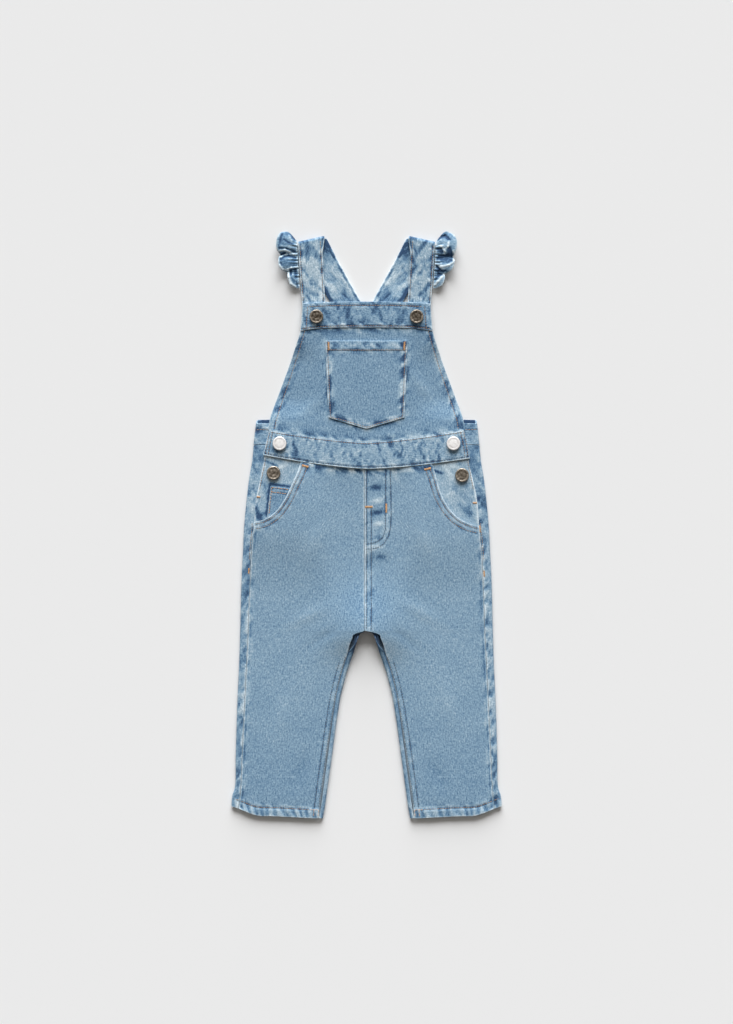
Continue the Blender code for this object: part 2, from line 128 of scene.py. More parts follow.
bibSides = table(
    "y half",
    (90, 107.0),
    (113, 103.8),
    (126, 99.9),
    (147, 92.9),
    (169, 85.4),
    (191, 78.3),
    (214, 71.5),
    (243, 68.8),
)
frontCreases = table(
    "x y long wide high turn",
    (-62, -96, 60, 16, 0.5, 24),
    (-44, -118, 48, 12, -0.45, 35),
    (-92, -208, 74, 22, 0.5, 82),
    (-70, -262, 50, 18, -0.4, 70),
    (-58, -20, 64, 20, 0.4, 62),
    (58, -92, 62, 16, 0.5, -28),
    (40, -120, 46, 12, -0.45, -38),
    (88, -190, 80, 22, 0.5, -80),
    (76, -268, 46, 18, -0.4, -66),
    (62, -14, 58, 20, 0.4, -66),
)
bibCreases = table(
    "x y long wide high turn",
    (-62, 128, 44, 14, 0.4, 40),
    (60, 150, 52, 14, 0.4, -52),
    (-74, 176, 30, 10, -0.3, 62),
    (20, 98, 60, 12, 0.3, 4),
)


# Reading the tables, and soft unevenness
def smoothRead(columns, key, name, at):
    x, y = columns[key], columns[name]
    slopes = np.gradient(y, x)
    at = np.clip(np.asarray(at, float), x[0], x[-1])
    k = np.clip(np.searchsorted(x, at, side="right") - 1, 0, len(x) - 2)
    gap = x[k + 1] - x[k]
    t = (at - x[k]) / gap
    return (
        (2 * t**3 - 3 * t**2 + 1) * y[k]
        + (t**3 - 2 * t**2 + t) * gap * slopes[k]
        + (3 * t**2 - 2 * t**3) * y[k + 1]
        + (t**3 - t**2) * gap * slopes[k + 1]
    )


def read(columns, key, name, at):
    return np.interp(at, columns[key], columns[name])


def ease(value, start, end):
    t = np.clip((value - start) / (end - start), 0, 1)
    return t * t * (3 - 2 * t)


def cornerValue(ix, iy, seed):
    value = np.sin(ix * 127.1 + iy * 311.7 + seed * 74.7) * 43758.5453
    return value - np.floor(value)


# Soft bumps of about this size, from -1 to 1, the same on each run
def rough(x, y, size, seed):
    gx, gy = np.asarray(x, float) / size, np.asarray(y, float) / size
    ix, iy = np.floor(gx), np.floor(gy)
    fx, fy = gx - ix, gy - iy
    fx, fy = fx * fx * (3 - 2 * fx), fy * fy * (3 - 2 * fy)
    low = cornerValue(ix, iy, seed) * (1 - fx) + cornerValue(ix + 1, iy, seed) * fx
    high = cornerValue(ix, iy + 1, seed) * (1 - fx) + cornerValue(ix + 1, iy + 1, seed) * fx
    return 2 * (low * (1 - fy) + high * fy) - 1


def creases(rows, x, y):
    total = np.zeros(np.broadcast(x, y).shape)
    for i in range(len(rows["x"])):
        turn = math.radians(rows["turn"][i])
        dx, dy = x - rows["x"][i], y - rows["y"][i]
        along = dx * math.cos(turn) + dy * math.sin(turn)
        across = dy * math.cos(turn) - dx * math.sin(turn)
        fall = (2 * along / rows["long"][i]) ** 2 + (2 * across / rows["wide"][i]) ** 2
        total = total + rows["high"][i] * np.exp(-1.5 * fall)
    return total


# Lines drawn on the cloth, each from one place to another with a half width, dark or pale
def strokes(rows, x, y):
    total = np.zeros(np.broadcast(x, y).shape)
    for i in range(len(rows["x"])):
        line = [(rows["x"][i], rows["y"][i]), (rows["toX"][i], rows["toY"][i])]
        total = total + rows["high"][i] * np.exp(-((alongLine(x, y, line)[0] / rows["wide"][i]) ** 2))
    return total


def points(x, y, z):
    return np.stack(np.broadcast_arrays(x, y, z), axis=-1).astype(float)


# Places from 0 to 1 along a length, closer at both ends where an edge is rounded
def spaced(length, step=garment["step"]):
    edge = np.array((0.0, 0.15, 0.45, 0.9))
    inner = np.linspace(edge[-1], length - edge[-1], max(3, round(length / step)) + 1)[1:-1]
    return np.concatenate([edge, inner, length - edge[::-1]]) / length


# The distance to a line, how far along it the nearest place is, and on which side
def alongLine(x, y, line):
    line = np.asarray(line, float)
    best = np.full(np.shape(x), 1e9)
    where, which = np.zeros(np.shape(x)), np.ones(np.shape(x))
    run = 0.0
    for a, b in zip(line[:-1], line[1:]):
        way = b - a
        size = float(np.hypot(*way)) or 1e-6
        t = np.clip(((x - a[0]) * way[0] + (y - a[1]) * way[1]) / size**2, 0, 1)
        dx, dy = x - a[0] - way[0] * t, y - a[1] - way[1] * t
        away = np.hypot(dx, dy)
        closer = away < best
        best = np.where(closer, away, best)
        where = np.where(closer, run + t * size, where)
        which = np.where(closer, np.sign(way[0] * dy - way[1] * dx), which)
        run += size
    return best, where, which


# The line moved sideways: to its left where away is positive
def inset(line, away):
    line = np.asarray(line, float)
    way = np.gradient(line, axis=0)
    way /= np.maximum(np.hypot(way[:, 0], way[:, 1])[:, None], 1e-9)
    return line + np.stack([-way[:, 1], way[:, 0]], axis=1) * away


# The shapes that the flat front pieces share, as the solids have them
waist = {
    "low": 62.0,
    "lowRise": 13.0,
    "high": 90.8,
    "highRise": 12.6,
    "halfLow": 111.5,
    "halfHigh": 105.0,
    "puff": 0.3,
    "cell": 0.85,
}
crotch = {"rise": 9.4, "y": -116, "across": 36, "above": 42, "below": 25}


def waistLow(x):
    return waist["low"] + waist["lowRise"] * (np.abs(x) / 111) ** 1.5 - 0.016 * x


def waistHigh(x):
    return waist["high"] + waist["highRise"] * (np.abs(x) / 104) ** 1.4


def hemRise(x):
    half = np.abs(x)
    return 2.4 * ease(half, 50, 110) + 11.0 * ease(half, 112, 152)


def pocketCurve(side, x):
    return smoothRead(pocketRows, "x", letters[side], np.abs(x))


# The height of the front panel's upper surface
def frontTop(side, x, y):
    half = np.abs(x)
    inner = smoothRead(legs, "y", "front", np.minimum(y, -112))
    outer = smoothRead(legs, "y", "seam", y)
    across = np.clip((half - inner) / (outer - inner), 0, 1)
    fullness = garment["fullness"] * np.sin(math.pi * across) * ease(y, -318, -290) * ease(-y, -62, -20)
    lift = garment["pocketRaise"] * ease(half, 30, 60) * ease(y, -78, -3)
    if side == left:
        lift = lift + garment["coinRaise"] * ease(half, 50, 76) * ease(y, -46, 6) * ease(-y, -66, -52)
    underWaist = 0.6 * ease(y, 30, 60) * (1 - ease(half, 40, 58))
    hemStart = garment["hemLine"] + garment["hemDepth"]
    hem = garment["hemRaise"] * ease(-y, -hemStart - 1, -hemStart + 1)
    fly = 0.0
    if side == right:
        fly = garment["flyRaise"] * (1 - ease(half, 24, 27)) * ease(y, -40, -26)
    return legTop + fullness + lift + underWaist + hem + fly + creases(frontCreases, x, y)


# Where the leg seams meet, the cloth stands up from the floor
def crotchLift(x, y):
    reach = np.where(y > crotch["y"], crotch["above"], crotch["below"])
    return crotch["rise"] * np.exp(-((x / crotch["across"]) ** 2) - ((y - crotch["y"]) / reach) ** 2)


def bibUnder(x, y):
    droop = 3.2 * ease(np.abs(x), 46, 82) * ease(y, 112, 140) * ease(-y, -206, -176)
    sag = 0.5 * ease(np.abs(x), 30, 60) * ease(y, 100, 130) * ease(-y, -200, -170)
    return garment["bibUnder"] - droop - sag + creases(bibCreases, x, y) + 0.3 * ease(-y, -120, -92)


# Shader maths: a socket with the operators, and one method for every other node
class Link:
    def __init__(self, maker, socket):
        self.maker, self.socket = maker, socket

    def maths(self, operation, first, second):
        return self.maker.node("ShaderNodeMath", {"operation": operation}, {0: first, 1: second})

    def __add__(self, other):
        return self.maths("ADD", self, other)

    def __radd__(self, other):
        return self.maths("ADD", other, self)

    def __sub__(self, other):
        return self.maths("SUBTRACT", self, other)

    def __rsub__(self, other):
        return self.maths("SUBTRACT", other, self)

    def __mul__(self, other):
        return self.maths("MULTIPLY", self, other)

    def __rmul__(self, other):
        return self.maths("MULTIPLY", other, self)


# A material being made, with its Principled shader
class Finish:
    def __init__(self, name, roughness=0.9, metallic=0.0, sheen=0.0):
        self.material = bpy.data.materials.new(name)
        self.material.use_nodes = True
        self.tree = self.material.node_tree
        self.shader = self.tree.nodes["Principled BSDF"]
        self.shader.inputs["Roughness"].default_value = roughness
        self.shader.inputs["Metallic"].default_value = metallic
        self.shader.inputs["Sheen Weight"].default_value = sheen

    def node(self, kind, settings=None, inputs=None, out=0):
        new = self.tree.nodes.new(kind)
        for name, value in (settings or {}).items():
            if name == "stops":
                while len(new.color_ramp.elements) < len(value):
                    new.color_ramp.elements.new(0.5)
                for element, (place, colour) in zip(new.color_ramp.elements, value):
                    element.position, element.color = place, (*colour, 1.0)
            else:
                setattr(new, name, value)
        for name, value in (inputs or {}).items():
            self.put(new.inputs[name], value)
        return Link(self, new.outputs[out])

    def put(self, socket, value):
        if isinstance(value, Link):
            self.tree.links.new(value.socket, socket)
        else:
            socket.default_value = value

    def set(self, name, value):
        self.put(self.shader.inputs[name], value)

    def noise(self, vector, scale, detail=2.0, roughness=0.5):
        inputs = {"Vector": vector, "Scale": scale, "Detail": detail, "Roughness": roughness}
        return self.node("ShaderNodeTexNoise", {}, inputs)

    def stretched(self, vector, scale):
        return self.node("ShaderNodeMapping", {}, {"Vector": vector, "Scale": scale})

    def attribute(self, name):
        return self.node("ShaderNodeAttribute", {"attribute_name": name}, out=2)

    def blend(self, factor, first, second):
        first, second = ((*c, 1.0) if isinstance(c, tuple) else c for c in (first, second))
        return self.node("ShaderNodeMix", {"data_type": "RGBA"}, {0: factor, 6: first, 7: second}, out=2)

    def bump(self, height, strength, distance=0.0003):
        inputs = {"Strength": strength, "Distance": distance, "Height": height}
        self.set("Normal", self.node("ShaderNodeBump", {}, inputs))


denimLook = {
    "darkest": (0.018, 0.058, 0.135),
    "dark": (0.086, 0.184, 0.305),
    "middle": (0.207, 0.332, 0.450),
    "pale": (0.365, 0.480, 0.565),
    "palest": (0.60, 0.70, 0.76),
    "inside": (0.40, 0.49, 0.56),
    "twillPitch": 0.62,
    "speckle": 1.7,
    "slub": 1.2,
    "grain": 0.62,
    "cloud": 0.3,
}


def denimFinish():
    look = denimLook
    new = Finish("stonewashed denim", roughness=0.92, sheen=0.12)
    cut = new.node("ShaderNodeUVMap", {"uv_map": "cut"})
    cloth = new.node("ShaderNodeVectorMath", {"operation": "SCALE"}, {0: cut, "Scale": 1000.0})
    parts = new.node("ShaderNodeSeparateXYZ", {}, {0: cloth}).socket.node
    u, v = Link(new, parts.outputs[0]), Link(new, parts.outputs[1])
    wear, inside = new.attribute("wear"), new.attribute("inside")
    slant = (u * 0.9 + v * 0.5) * (math.tau / look["twillPitch"])
    twill = new.node("ShaderNodeMath", {"operation": "SINE"}, {0: slant})
    yarns = new.node("ShaderNodeMath", {"operation": "SINE"}, {0: v * (math.tau / 0.5)})
    speckle = new.noise(new.stretched(cloth, (1.0, 0.75, 1.0)), 0.66, 3.0, 0.64)
    slub = new.noise(new.stretched(cloth, (1.0, 0.22, 1.0)), 0.8, 2.0, 0.6)
    cloud = new.noise(cloth, 0.035, 2.0, 0.5)
    tone = (
        wear
        + (speckle - 0.5) * look["speckle"]
        + (slub - 0.5) * look["slub"]
        + (cloud - 0.5) * look["cloud"]
        + twill * 0.05
    )
    stops = [(0.0, look["darkest"]), (0.27, look["dark"]), (0.5, look["middle"])]
    stops += [(0.74, look["pale"]), (1.0, look["palest"])]
    colour = new.node("ShaderNodeValToRGB", {"stops": stops}, {0: tone * 0.5 + 0.5})
    stops = [(0.3, look["middle"]), (0.7, look["inside"])]
    wrong = new.node("ShaderNodeValToRGB", {"stops": stops}, {0: speckle * 0.6 + 0.3 + twill * 0.1})
    mixed = new.blend(inside, colour, wrong)
    grain = (speckle - 0.5) * look["grain"] + 1.0
    scaled = new.node("ShaderNodeVectorMath", {"operation": "SCALE"}, {0: mixed, "Scale": grain})
    new.set("Base Color", scaled)
    new.bump(twill * 0.05 + yarns * 0.02 + speckle * 0.16 + slub * 0.1, 0.45, mm)
    return new.material


def threadFinish(name, colour, tip):
    new = Finish(name, roughness=0.7, sheen=0.1)
    place = new.node("ShaderNodeTexCoord", out=3)
    uneven = new.noise(place, 900.0, 2.0)
    new.set("Base Color", new.blend(uneven, colour, tip))
    new.bump(uneven, 0.3)
    return new.material


def metalFinish(name, dark, bright, roughness, metallic=1.0):
    new = Finish(name, roughness=roughness, metallic=metallic)
    place = new.node("ShaderNodeTexCoord", out=3)
    patina = new.noise(place, 420.0, 4.0, 0.6)
    mask = new.node("ShaderNodeClamp", {}, {0: new.attribute("worn") + (patina - 0.5) * 0.9})
    new.set("Base Color", new.blend(mask, dark, bright))
    new.set("Roughness", roughness + (patina - 0.5) * 0.2)
    new.bump(patina, 0.35)
    return new.material


denim = denimFinish()
threads = {
    "brown": threadFinish("brown topstitching", (0.25, 0.165, 0.11), (0.42, 0.30, 0.21)),
    "orange": threadFinish("orange bar tacks", (0.56, 0.27, 0.10), (0.70, 0.42, 0.20)),
    "grey": threadFinish("faded grey topstitching", (0.04, 0.05, 0.07), (0.11, 0.115, 0.13)),
}
agedMetal = metalFinish("aged button metal", (0.075, 0.058, 0.042), (0.42, 0.37, 0.31), 0.40)
# The waist buttons' metal is near white and partly diffuse: its own pale colour plus a painted reflection
# of a bright studio
brightMetal = metalFinish("bright button metal", (0.46, 0.42, 0.40), (1.0, 0.985, 0.975), 0.42, 0.35)
print("finishes made")


# Sewing on the cloth: the groove under each row, and the puckers and fading beside it
def sewn(x, y, rows, seed):
    # A row is (line, reach of the puckers, their height, their contrast, depth of the groove)
    relief, wear = np.zeros(np.shape(x)), np.zeros(np.shape(x))
    for number, (line, reach, puff, contrast, groove) in enumerate(rows):
        away, along, which = alongLine(x, y, line)
        slanted = along + 0.75 * which * away
        blotch = rough(slanted, away * 0.7 + 40, 6.4, seed + number) * 0.8
        blotch = np.tanh(2.0 * (blotch + rough(slanted, away + 90, 3.2, seed + number + 40) * 0.45))
        near = np.exp(-((away / reach) ** 2))
        relief += puff * near * blotch
        wear += 1.4 * contrast * near * (blotch - 0.12)
        # The groove is darkened with painted shade besides its small dip; the pale ridge beside it is wear
        if groove:
            dark = np.exp(-((away / 0.8) ** 2))
            ridge = np.exp(-(((away - 2.0) / 0.8) ** 2))
            relief += 0.4 * groove * ridge - groove * dark
            wear += 1.2 * groove * ridge - 2.6 * groove * dark
    return relief, wear


# Pulls in doubled cloth, longest along y: deep blue hollows and thin pale creases
def crumple(x, y, size, seed):
    bent = x + 0.35 * y + 0.35 * size * rough(x, y, size * 2.2, seed + 7)
    wide = rough(bent, y * 0.36, size * 0.62, seed)
    narrow = rough(x - 0.3 * y, y * 0.42, size * 0.36, seed + 3)
    crease = np.maximum(1 - np.abs(wide + 0.4 * narrow - 0.1) / 0.17, 0)
    hollow = ease(-wide - 0.35 * narrow, 0.2, 1.0)
    return 0.5 * narrow + 0.3 * wide - 0.9 * hollow + 0.9 * crease - 0.05


# A thin shell between two faces that follow the middle grid of rows, columns and axes
def makeCloth(name, middle, wall, facing, relief=0.0, wear=0.0, pale=0.8,
              paleWidth=0.85, grainAcross=False, rim=0.5, doubled=False):
    run = np.linalg.norm(np.diff(middle, axis=1), axis=2)
    rise = np.linalg.norm(np.diff(middle, axis=0), axis=2)
    u = np.concatenate([np.zeros((len(middle), 1)), np.cumsum(run, axis=1)], axis=1)
    v = np.concatenate([np.zeros((1, middle.shape[1])), np.cumsum(rise, axis=0)], axis=0)
    edge = np.minimum(np.minimum(u, u[:, -1:] - u), np.minimum(v, v[-1:] - v))
    normal = np.cross(np.gradient(middle, axis=1), np.gradient(middle, axis=0))
    normal *= facing / np.maximum(np.linalg.norm(normal, axis=2, keepdims=True), 1e-12)
    curve = 1 - np.clip(edge / rim, 0, 1)
    rounded = 0.25 + 0.75 * np.sqrt(np.maximum(1 - curve**2, 0))
    half = (wall / 2 * rounded)[..., None]
    outer = middle + normal * (half + (relief * rounded)[..., None])
    inner = middle - normal * half
    fray = rough(u, v, 2.6, len(name)) * 0.35
    ways = [np.gradient(middle, axis=1), np.gradient(middle, axis=0)]
    ways = [way[..., 1] / np.maximum(np.linalg.norm(way, axis=2), 1e-9) for way in ways]
    nearest = np.argmin(np.stack([u, u[:, -1:] - u, v, v[-1:] - v]), axis=0)
    lean = np.choose(nearest, [-ways[0], ways[0], -ways[1], ways[1]])
    # Pale worn edges, made paler still where they face -y, away from the light, and less pale where they
    # face it: painted light and shade
    tone = wear + pale * np.exp(-((edge / paleWidth) ** 2)) * (0.8 + fray) * (1 - 0.55 * lean)

    rows, columns = middle.shape[0] - 1, middle.shape[1] - 1
    bm = bmesh.new()
    bmesh.ops.create_grid(bm, x_segments=columns, y_segments=rows, size=0.5)
    layer = bm.verts.layers.int.new("place")
    for vert in bm.verts:
        row, column = round((vert.co.y + 0.5) * rows), round((vert.co.x + 0.5) * columns)
        vert[layer] = row * (columns + 1) + column
    extruded = bmesh.ops.extrude_face_region(bm, geom=bm.faces[:])["geom"]
    innerVerts = {vert for vert in extruded if isinstance(vert, bmesh.types.BMVert)}
    faces = (outer.reshape(-1, 3) * mm, inner.reshape(-1, 3) * mm)
    for vert in bm.verts:
        vert.co = faces[vert in innerVerts][vert[layer]]
    bmesh.ops.recalc_face_normals(bm, faces=bm.faces)
    isInner = np.array([vert in innerVerts for vert in bm.verts])
    place = np.array([vert[layer] for vert in bm.verts])
    mesh = bpy.data.meshes.new(name)
    bm.to_mesh(mesh)
    bm.free()
    mesh.shade_smooth()
    rightSide = np.broadcast_to(doubled, u.shape).reshape(-1)[place]
    for label, values in (("wear", tone.reshape(-1)[place]), ("inside", isInner * (1.0 - rightSide))):
        mesh.attributes.new(label, "FLOAT", "POINT").data.foreach_set("value", values.astype(np.float32))
    across = u - u[:, middle.shape[1] // 2 : middle.shape[1] // 2 + 1]
    up = v + middle[:1, :, 1]
    if grainAcross:
        across, up = up, across
    corners = np.empty(len(mesh.loops), np.int32)
    mesh.loops.foreach_get("vertex_index", corners)
    cut = np.stack([across.reshape(-1), up.reshape(-1)], axis=1)[place][corners] * mm
    mesh.uv_layers.new(name="cut").data.foreach_set("uv", cut.reshape(-1).astype(np.float32))
    mesh.materials.append(denim)
    new = bpy.data.objects.new(name, mesh)
    bpy.context.scene.collection.objects.link(new)
    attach(new, "root")
    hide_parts(name.replace("cloth_", ""))
    tree = BVHTree.FromPolygons(outer.reshape(-1, 3).tolist(), gridFaces(rows, columns))
    made[name.replace("cloth_", "")] = tree


def gridFaces(rows, columns):
    start = (np.arange(rows)[:, None] * (columns + 1) + np.arange(columns)).reshape(-1)
    return np.stack([start, start + 1, start + columns + 2, start + columns + 1], axis=1).tolist()


# The twisted hem is the same on the front and back panels
def hemLook(x, y):
    away = y - hemAt(x)
    inHem = 1 - ease(away, garment["hemDepth"] - 0.8, garment["hemDepth"] + 0.6)
    above = np.exp(-(((away - 10.5) / 3.6) ** 2)) * (1 - inHem)
    slide = 0.55 * rough(x, away * 0.5, 13.0, 3)
    rope = 0.6 * np.sin(math.tau * (x / 8.4 + away / 26.0 + slide))
    rope = np.tanh(1.7 * (rope + 0.75 * rough(x + away * 0.4, away * 0.45, 5.2, 8)))
    pucker = np.tanh(2 * rough(x + away * 0.5, away * 0.5, 5.0, 12)) * above
    return inHem * rope * 0.34 + 0.2 * pucker, inHem * (rope * 0.5 + 0.06) + 0.36 * pucker


def hemAt(x):
    return garment["hemLine"] + hemRise(x)


# Rows of sewing, as lines in x and y; those with a side are given as half widths and mirrored
def sided(side, line):
    return [(side * x, y) for x, y in line]


# Beside one of the legs' outlines, from low to high
def seamLine(column, low, high, away=0.0, count=40):
    y = np.linspace(low, high, count)
    return list(zip(smoothRead(legs, "y", column, y) + away, y))


def pocketLine(side, away):
    x = np.linspace(70.4, 120.5, 34)
    line = np.stack([x, pocketCurve(side, x)], axis=1)
    return inset(line, -away)


frontRows = {}
for side in (left, right):
    frontRows[side] = {
        "inseamOuter": sided(side, seamLine("front", -303, -140, 0.9)),
        "inseamInner": sided(side, seamLine("front", -303, -146, 5.8)),
        "hemOuter": sided(side, seamLine("front", -313, -305, 0.9, 6)),
        "hemInner": sided(side, seamLine("front", -313, -305, 5.8, 6)),
        "hemEnd": [(side * x, hemAt(x) + 9.4) for x in np.linspace(52.5, 61.0, 6)],
        "hem": [(side * x, hemAt(x) + 9.4) for x in np.linspace(62.0, 135.5, 30)],
        "pocketNear": sided(side, pocketLine(side, 2.6)),
        "pocketFar": sided(side, pocketLine(side, 7.5)),
    }
flyRows = {
    "edge": [(0.1, y) for y in np.linspace(61, -110, 40)],
    "second": [(5.2, y) for y in np.linspace(19, -111, 30)],
    "outerCurve": [(25.4, 61), (26.2, 40), (26.6, 17), (26.2, 0), (23.4, -11), (18.6, -18.6),
                   (12.0, -22.8), (5.0, -24.2), (0.8, -24.4)],
    "innerCurve": [(20.8, 59.5), (20.6, 30), (20.4, -3.0), (17.4, -11.8), (12.0, -16.2),
                   (6.0, -18.2), (0.8, -18.6)],
}


def frontPanel(side):
    letter = letters[side]
    seam = garment["centreSeam"] + side * garment["gap"] / 2
    step = garment["step"]
    columns = spaced(118.0)
    lowRows = np.arange(garment["hemLine"] + 3, -112, step)
    lowRows = np.concatenate([garment["hemLine"] + np.array((0, 0.15, 0.45, 0.9, 1.8)), lowRows])
    grid = []
    for y in lowRows:
        start, end = float(smoothRead(legs, "y", "front", y)), float(smoothRead(legs, "y", "seam", y))
        x = start + (end - start) * columns
        grid.append(points(side * x, y + hemRise(x) * float(ease(-y, 270, 313)), 0.0))
    curveX = np.linspace(120.5, 70.4, 60)
    seamUp = np.linspace(-112, float(pocketCurve(side, 120.5)) - 0.8, 60)
    outline = np.concatenate([
        np.stack([smoothRead(legs, "y", "seam", seamUp), seamUp], axis=1),
        np.stack([curveX, pocketCurve(side, curveX)], axis=1),
    ])
    reach = np.concatenate([[0], np.cumsum(np.hypot(*np.diff(outline, axis=0).T))])
    for f in spaced(float(reach[-1]), step):
        endX, endY = (np.interp(f * reach[-1], reach, outline[:, k]) for k in (0, 1))
        startY = -112 + (waistLow(0.0) - garment["gap"] + 112) * f
        x = side * seam + (endX - side * seam) * columns
        straight = startY + (endY - startY) * columns**1.25
        share = f**5 * (1 - columns**3) + f**40 * columns**3
        bow = (waistLow(side * x) - garment["gap"] - straight) * share
        grid.append(points(side * x, straight + bow, 0.0))
    middle = np.array(grid)
    x, y = middle[..., 0], middle[..., 1]
    middle[..., 2] = frontTop(side, x, y) - garment["wall"] / 2 + crotchLift(x, y)
    rows = frontRows[side]
    sewing = [
        (rows["inseamOuter"], 2.6, 0.10, 0.2, 0.1),
        (rows["inseamInner"], 3.0, 0.10, 0.2, 0.1),
        (rows["hem"], 1.6, 0.10, 0.15, 0.3),
        (rows["pocketNear"], 2.4, 0.16, 0.34, 0.16),
        (rows["pocketFar"], 3.2, 0.16, 0.36, 0.16),
        (sided(side, seamLine("seam", -303, 2, -1.9)), 3.4, 0.14, 0.34, 0.12),
        ([(v, waistLow(v) - 2) for v in side * np.linspace(2, 70, 20)], 5.0, 0.12, 0.8, 0.0),
    ]
    if side == right:
        sewing += [
            (flyRows["edge"], 2.4, 0.14, 0.34, 0.16),
            (flyRows["second"], 2.6, 0.14, 0.3, 0.16),
            (flyRows["outerCurve"], 2.6, 0.12, 0.3, 0.16),
            (flyRows["innerCurve"], 2.6, 0.12, 0.3, 0.16),
        ]
    else:
        centre = [(garment["centreSeam"], v) for v in np.linspace(61, -108, 30)]
        sewing.append((centre, 2.6, 0.05, 0.16, 0.0))
    relief, wear = sewn(x, y, sewing, 11 if side == left else 31)
    hemRelief, hemWear = hemLook(x, y)
    relief, wear = relief + hemRelief, wear + hemWear
    wear = wear + 0.22 * creases(frontCreases, x, y)
    wear = wear - 0.10 * ease(-y, 150, 300) - 0.03
    # Painted shade on the raised crotch's slopes that face the light, and painted light on those that face
    # away from it
    slope = crotchLift(x, y - 1) - crotchLift(x, y + 1)
    wear = wear - 0.4 * slope
    # Folds held in the fly by its stitching, deep blue in their hollows
    if side == right:
        fly = table("x y long wide high turn", (10, 42, 16, 7, -1.0, 2), (12, 15, 18, 6, -1.0, 10),
                    (18, -28, 6, 16, 0.0, 0), (15, -33, 12, 6, -0.7, -8), (14, -12, 8, 6, -0.6, 0),
                    (12, 28, 16, 7, 0.7, 6), (31, 53, 16, 4, 0.45, -52),
                    (-6, 58, 10, 5, 0.8, 70), (13, 3, 14, 6, 0.7, 8), (13, -22, 14, 5, 0.7, -6))
        folds = creases(fly, x, y)
        relief, wear = relief + 0.25 * folds, wear + 1.25 * folds
    ridge = 0.85 + 0.75 * ease(np.abs(x), 58, 68) * ease(y, -6, 6)
    if side == right:
        ridge = ridge + 0.5 * (1 - ease(np.abs(x), 6, 12))
    # Near the crotch the pale worn edges are left out: painted shade under the raised crotch
    makeCloth(
        f"cloth_front_leg_{letter}", middle, garment["wall"], side,
        relief, wear,
        pale=1.0 - 0.8 * np.exp(-((x / 26) ** 2) - ((y + 118) / 16) ** 2), paleWidth=ridge,
    )


# One row of a back panel as outer points and outward directions, from its edge on top, round the
# side and across to its inner edge. fine says how many stretches each part has.
def backSection(outer, edge, inner, turn, flap, fine):
    radius = garment["foldRadius"]
    centre = outer - radius
    arcs = math.pi * radius
    turned = math.radians(turn)
    swing = radius if turn >= 180 else arcs / max(turned, 1e-3)
    reach = arcs if turn <= 0 else swing * (math.sin(turned) if turn < 90 else 1.0)
    past = flap * math.cos(turned) if turn < 90 else 0.0
    start = inner + reach + past
    spots, ways = [], []
    for t in (0, 0.02, 0.06, 0.12, 0.25, 0.4, 0.55, 0.7, 0.85):
        spots.append((edge + (centre - edge) * t, legTop))
        ways.append((0.0, 1.0))
    for t in np.linspace(0, 1, fine["arc"] + 1):
        angle = math.pi / 2 - math.pi * t
        ways.append((math.cos(angle), math.sin(angle)))
        spots.append((centre + radius * ways[-1][0], radius * (1 + ways[-1][1])))
    for t in np.linspace(0, 1, fine["flat"] + 1)[1:-1]:
        spots.append((centre + (start - centre) * t, 0.0))
        ways.append((0.0, -1.0))
    for t in np.linspace(0, 1, fine["arc"] + 1):
        swept = turned * t
        ways.append((-math.sin(swept), -math.cos(swept)))
        if turn <= 0:
            spots.append((start - arcs * t, 0.0))
        else:
            spots.append((start + swing * ways[-1][0], swing * (1 + ways[-1][1])))
    end, last = (-math.cos(turned), math.sin(turned)), spots[-1]
    for t in (0.3, 0.6, 0.8, 0.92, 1.0):
        spots.append((last[0] + end[0] * flap * t, last[1] + end[1] * flap * t))
        ways.append(ways[-1])
    return np.array(spots), np.array(ways)


